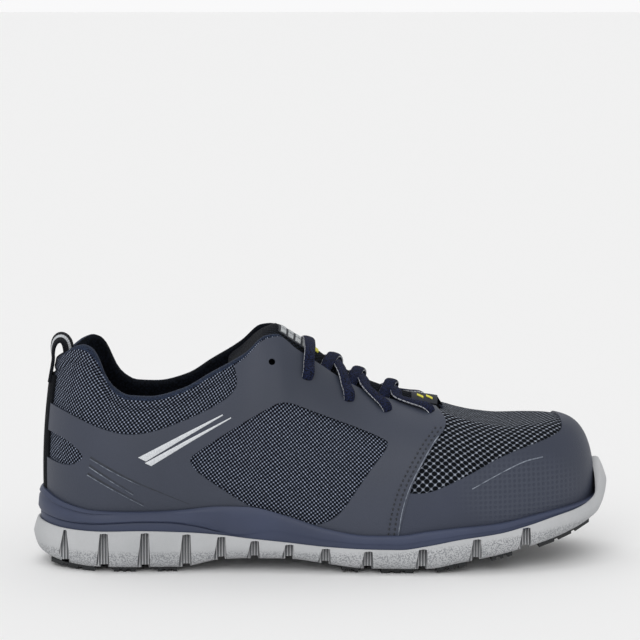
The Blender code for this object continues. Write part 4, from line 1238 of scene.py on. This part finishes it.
def on_tongue(along, share, lift):
    """A point on the tongue's crown at a share of the length, and of the way across."""
    row = float(np.interp(-along, -tongue_along, np.arange(len(tops))))
    column = 4 + share * 26
    r, c = min(int(row), len(tops) - 2), min(int(column), tops.shape[1] - 2)
    fr, fc = row - r, column - c
    near = tops[r, c] * (1 - fc) + tops[r, c + 1] * fc
    far = tops[r + 1, c] * (1 - fc) + tops[r + 1, c + 1] * fc
    out = unit(np.cross(tops[r + 1, c] - tops[r, c], tops[r, c + 1] - tops[r, c]))
    return near * (1 - fr) + far * fr + out * lift * math.copysign(1, out[2])


def sewn(name, yarn, alongs, shares, lift, thick, slant=0.0, steps=7):
    """A thin sewn patch that follows the tongue's crown."""
    rings = []
    for a in np.linspace(*alongs, steps):
        f = (a - alongs[0]) / (alongs[1] - alongs[0])
        spread = np.linspace(*shares, 6) + slant * f
        low = [on_tongue(a, s, lift - 0.0006) for s in spread]
        top = [on_tongue(a, s, lift + thick) for s in spread]
        rings.append(low + top[::-1])
    piece(name, lofted(rings, caps=True), (yarn,))


sewn("tongue_label", label_cloth, (0.424, 0.480), (0.20, 0.50), 0.0, 0.0004)
for row, shares in enumerate(((0.23, 0.335), (0.365, 0.47)), 1):
    for number, start in enumerate((0.428, 0.4405, 0.453, 0.4655), 1):
        ends = (start, start + 0.0085)
        sewn(f"label_dash_{row}_{number}", pale_yarn, ends, shares, 0.0004, 0.0003, steps=3)
sewn("label_end", yellow_yarn, (0.483, 0.492), (0.34, 0.50), 0.0, 0.0006, steps=4)
sewn("throat_tag", label_cloth, (0.655, 0.700), (0.16, 0.42), 0.0, 0.0007)
for number, start in enumerate((0.664, 0.680), 1):
    ends = (start, start + 0.011)
    sewn(f"tag_dash_{number}", yellow_yarn, ends, (0.30, 0.35), 0.0007, 0.0003, slant=-0.06, steps=3)

# Laces
# Flat oval polyester laces are braided in navy and black, with a pale tracer yarn along both
# edges. Each rises out of its eyelet, crosses the tongue and goes in under the other eyestay.
LACE_WIDTH = 0.0062
LACE_THICKNESS = 0.0025
LACE_CLEARANCE = 0.0004

braid = finish("braided lace", Roughness=0.8, Specular_IOR_Level=0.2)
lace_map = add(braid, "UVMap", uv_map="cloth")[0]
parts = add(braid, "SeparateXYZ", [lace_map])
from_edge = reckon(braid, "PINGPONG", parts[0], 0.25)
flat_map = add(braid, "CombineXYZ", [reckon(braid, "MULTIPLY", parts[0], 0.015), parts[1]])[0]
across_grain = {"Vector": flat_map, "Rotation": (0, 0, math.radians(45)), "Scale": (1050, 1050, 1)}
placed = add(braid, "Mapping", across_grain)[0]
cells = add(braid, "TexVoronoi", {"Vector": placed, "Randomness": 0.0}, voronoi_dimensions="2D")
tint = noise(braid, placed, 1.3, 2.0)
yarns = ramp(braid, tint, (0.40, dye("080b13")), (0.60, dye("27325c")))
gaps = ranged(braid, cells[0], 0.35, 0.62, 0.0, 1.0)
woven = add(braid, "MixRGB", {0: gaps, 1: yarns, 2: dye("030408")})[0]
edge_line = reckon(braid, "LESS_THAN", from_edge, 0.034)
beat = reckon(braid, "SINE", reckon(braid, "MULTIPLY", parts[1], 2600.0))
dash = reckon(braid, "GREATER_THAN", beat, -0.88)
tracer = reckon(braid, "MULTIPLY", edge_line, dash)
wire(braid, "Base Color", add(braid, "MixRGB", {0: tracer, 1: woven, 2: dye("d5d8df")})[0])
domes = reckon(braid, "SUBTRACT", 1.0, cells[0])
wire(braid, "Normal", relief(braid, 0.9, 0.0004, domes))


def throat_point(side, place, lift, t=1.0):
    """A point by the throat's edge at a share of the length, lifted off the skin."""
    rows = list(range(1, half)) if side < 0 else list(range(LAST.count - 1, half, -1))
    nearest = np.interp(-place, -share_of(LAST.top[rows, 0]), np.arange(len(rows)))
    low = int(nearest)
    mix = nearest - low
    pair = [rows[low], rows[min(low + 1, len(rows) - 1)]]
    ring, out = LAST.skin(t, lift)[pair], LAST.normals(t)[0][pair]
    return (1 - mix) * ring[0] + mix * ring[1], (1 - mix) * out[0] + mix * out[1]


def rise_from(side, number, lift):
    """The lace's way out of its eyelet and up to the throat edge."""
    middle, normal, up = eyelets[side][number]
    near, near_out = throat_point(side, EYELETS[number][1], lift + 0.0006)
    way = unit(near - middle)
    rows = [
        (middle - normal * 0.0030, -way),
        (middle + normal * 0.0014 - way * 0.0004, normal * 0.6 - way * 0.8),
        (middle + normal * (lift + 0.0004) + way * 0.0032, normal),
        (middle * 0.45 + near * 0.55 + normal * (lift + 0.0002) * 0.5, normal * 0.5 + near_out * 0.5),
        (near, near_out),
    ]
    return rows, near, near_out


def oval(point, beside, up, sides, square_beside, square_up):
    """A flat oval ring; low powers square its corners."""
    angles = np.arange(sides) * math.tau / sides
    c, s = np.cos(angles)[:, None], np.sin(angles)[:, None]
    wide = beside * np.sign(c) * np.abs(c) ** square_beside
    return point + wide + up * np.sign(s) * np.abs(s) ** square_up


def lace_rings(rows, slim_ends):
    """Rings of a flat oval lace along rows of (place, outward way)."""
    combined = np.array([np.concatenate((p, unit(u) * 0.0005)) for p, u in rows])
    dense = path_through(combined, 90)
    path, ups = dense[:, :3], dense[:, 3:]
    run = run_along(path)
    rings, cloth = [], []
    for k, (point, ahead, up) in enumerate(zip(path, unit(np.gradient(path, axis=0)), ups)):
        up = unit(up - ahead * (up @ ahead))
        beside = np.cross(ahead, up)
        spread = 1.0
        for end in range(slim_ends):
            gone = run[k] if end == 0 else run[-1] - run[k]
            spread = min(spread, 0.5 + 0.5 * float(np.clip(gone / 0.0065, 0, 1)) ** 0.7)
        beside = beside * LACE_WIDTH / 2 * spread
        rings.append(oval(point, beside, up * LACE_THICKNESS / 2, 16, 0.8, 0.8))
        cloth.append([(a / 16, run[k]) for a in range(17)])
    return rings, cloth


eyelets = {side: eyelet_frames(side) for side in (-1, 1)}
lift = OVERLAY + 0.0004 + LACE_THICKNESS / 2
under = lift + 0.0006 - LACE_THICKNESS / 2 + WALL + TONGUE_CLEARANCE
crest = TONGUE_CROWN + LACE_CLEARANCE * 4.5 - under
up_way = np.array((0.15, 0.0, 1.0))

first_rows, first_near, first_out = rise_from(-1, 1, lift)
other_rows, other_near, other_out = rise_from(1, 1, lift)
rows = list(first_rows)
for share in (0.2, 0.4, 0.5, 0.6, 0.8):
    flat = first_near * (1 - share) + other_near * share
    bow = 1 - (2 * share - 1) ** 2
    way_out = first_out * (1 - share) ** 2 + other_out * share**2 + up_way * bow
    rows.append((flat + CREST_WAY * crest * bow, way_out))
rows += other_rows[::-1]
rings, cloth = lace_rings(rows, 2)
piece("lace_bar", lofted(rings, caps=True, cloth=cloth), (braid,), ("lace_bar_top",))

for number in (1, 2, 3):
    for label, side, extra in (("outer", -1, 0.0), ("inner", 1, 0.0024)):
        rows, near, near_out = rise_from(side, number + 1, lift)
        far, far_out = throat_point(-side, EYELETS[number + 1][2], -(WALL + 0.0006))
        deep, _ = throat_point(-side, EYELETS[number + 1][2], -(WALL + 0.0016), 0.90)
        for share in (0.2, 0.4, 0.5, 0.6, 0.8, 0.93):
            flat = near * (1 - share) + far * share
            bow = 1 - (2 * share - 1) ** 2
            sunk = 0.0026 * max(0.0, share - 0.5) * 2
            high = (crest + extra + 0.0012 * share) * bow + sunk * (1 - share) * 2
            way_out = near_out * (1 - share) ** 2 + far_out * share**2 + up_way * bow
            rows.append((flat + CREST_WAY * high, way_out))
        rows += [(far, far_out), (deep, far_out)]
        rings, cloth = lace_rings(rows, 1)
        lace = lofted(rings, caps=True, cloth=cloth)
        piece(f"lace_{label}_{number}", lace, (braid,), (f"lace_crossing_{number}",))

# Heel webbing and pull loop
# Black ribbed webbing is sewn down the back seam. A folded tab of the same webbing, with a
# pale line woven along its middle, stands at the collar as a pull loop.
STRIP_THICKNESS = 0.0010
LOOP_WIDTH = 0.015
LOOP_THICKNESS = 0.0018
LOOP_RISE = 0.0100

webbing = finish("ribbed black webbing", Roughness=0.85, Specular_IOR_Level=0.15)
web_map = add(webbing, "UVMap", uv_map="cloth")[0]
parts = add(webbing, "SeparateXYZ", [web_map])
ribs = reckon(webbing, "SINE", reckon(webbing, "MULTIPLY", parts[1], 6200.0))
wales = reckon(webbing, "SINE", reckon(webbing, "MULTIPLY", parts[0], 5200.0))
weave = reckon(webbing, "MULTIPLY", ribs, wales)
wire(webbing, "Base Color", ramp(webbing, weave, (0.3, dye("090b0f")), (0.9, dye("1f232b"))))
wire(webbing, "Normal", relief(webbing, 0.7, 0.0003, weave))

loop_web = finish("loop webbing", Roughness=0.85, Specular_IOR_Level=0.15)
web_map = add(loop_web, "UVMap", uv_map="cloth")[0]
parts = add(loop_web, "SeparateXYZ", [web_map])
ribs = reckon(loop_web, "SINE", reckon(loop_web, "MULTIPLY", parts[1], 6200.0))
dark = ramp(loop_web, ribs, (0.3, dye("090b0f")), (0.9, dye("1f232b")))
from_edge = reckon(loop_web, "PINGPONG", parts[0], 0.25)
line = reckon(loop_web, "GREATER_THAN", from_edge, 0.232)
wire(loop_web, "Base Color", add(loop_web, "MixRGB", {0: line, 1: dark, 2: dye("c4c7cb")})[0])
wire(loop_web, "Normal", relief(loop_web, 0.6, 0.0003, ribs))

heel = half
heel_y = float(LAST.sole[heel, 1])


def heel_line(t, lift, ys):
    """Points across the back of the heel at the share t, at the given distances from it."""
    ring = LAST.skin(t, lift)[heel - 10 : heel + 11]
    xs, sides, zs = ring[np.argsort(ring[:, 1])].T
    place = heel_y + ys
    return np.column_stack((np.interp(place, sides, xs), place, np.interp(place, sides, zs)))


low = float(LAST.share_at(rim_z(LAST.foot[:, 0]) - 0.001)[heel])
ys = np.linspace(-STRIP_WIDTH / 2, STRIP_WIDTH / 2, 15)
round_off = 1 - np.abs(ys / ys[-1]) ** 8
rings = []
for t in np.linspace(low, 0.90, 30):
    under_line = heel_line(t, 0.0004, ys)
    over_line = heel_line(t, OVERLAY + 0.0004 + STRIP_THICKNESS, ys)
    over_line = under_line + (over_line - under_line) * (0.45 + 0.55 * round_off)[:, None]
    rings.append(np.concatenate((under_line, over_line[::-1])))
piece("heel_webbing", lofted(rings, caps=True), (webbing,), ("heel_strip",))

wall = float(wall_at(1.0)[heel])
loop_lift = CLEARANCE * 1.5 + LOOP_THICKNESS / 2
outer_low = LAST.skin(0.86, loop_lift + 0.0004)[heel]
outer_high = LAST.skin(0.985, loop_lift)[heel]
inner_high = LAST.skin(0.985, -wall - LOOP_THICKNESS / 2)[heel]
inner_low = LAST.skin(0.86, -wall_at(0.86) - LOOP_THICKNESS / 2)[heel]
middle_x = (outer_high[0] + inner_high[0]) / 2
reach = (inner_high[0] - outer_high[0]) / 2
points = [outer_low, outer_high]
for angle in np.radians(np.linspace(172, 8, 13)):
    x_here = middle_x + reach * math.cos(angle) * (1 + 0.16 * math.sin(angle))
    points.append(np.array((x_here, heel_y, outer_high[2] + LOOP_RISE * math.sin(angle) ** 0.8 + 0.002)))
points += [inner_high, inner_low]
path = path_through(points, 60)
run = run_along(path)
rings, cloth = [], []
for k, (point, ahead) in enumerate(zip(path, unit(np.gradient(path, axis=0)))):
    out = np.array((-ahead[2], 0, ahead[0])) * LOOP_THICKNESS / 2
    beside = np.array((0, LOOP_WIDTH / 2, 0))
    turn = math.radians(16) * float(np.clip((run[k] / run[-1] - 0.2) / 0.4, 0, 1))
    out, beside = (
        out * math.cos(turn) - beside * math.sin(turn) * LOOP_THICKNESS / LOOP_WIDTH,
        beside * math.cos(turn) + out * math.sin(turn) * LOOP_WIDTH / LOOP_THICKNESS,
    )
    rings.append(oval(point, beside, out, 24, 0.35, 0.45))
    cloth.append([(a / 24, run[k]) for a in range(25)])
piece("loop_webbing", lofted(rings, caps=True, cloth=cloth), (loop_web,), ("pull_loop",))
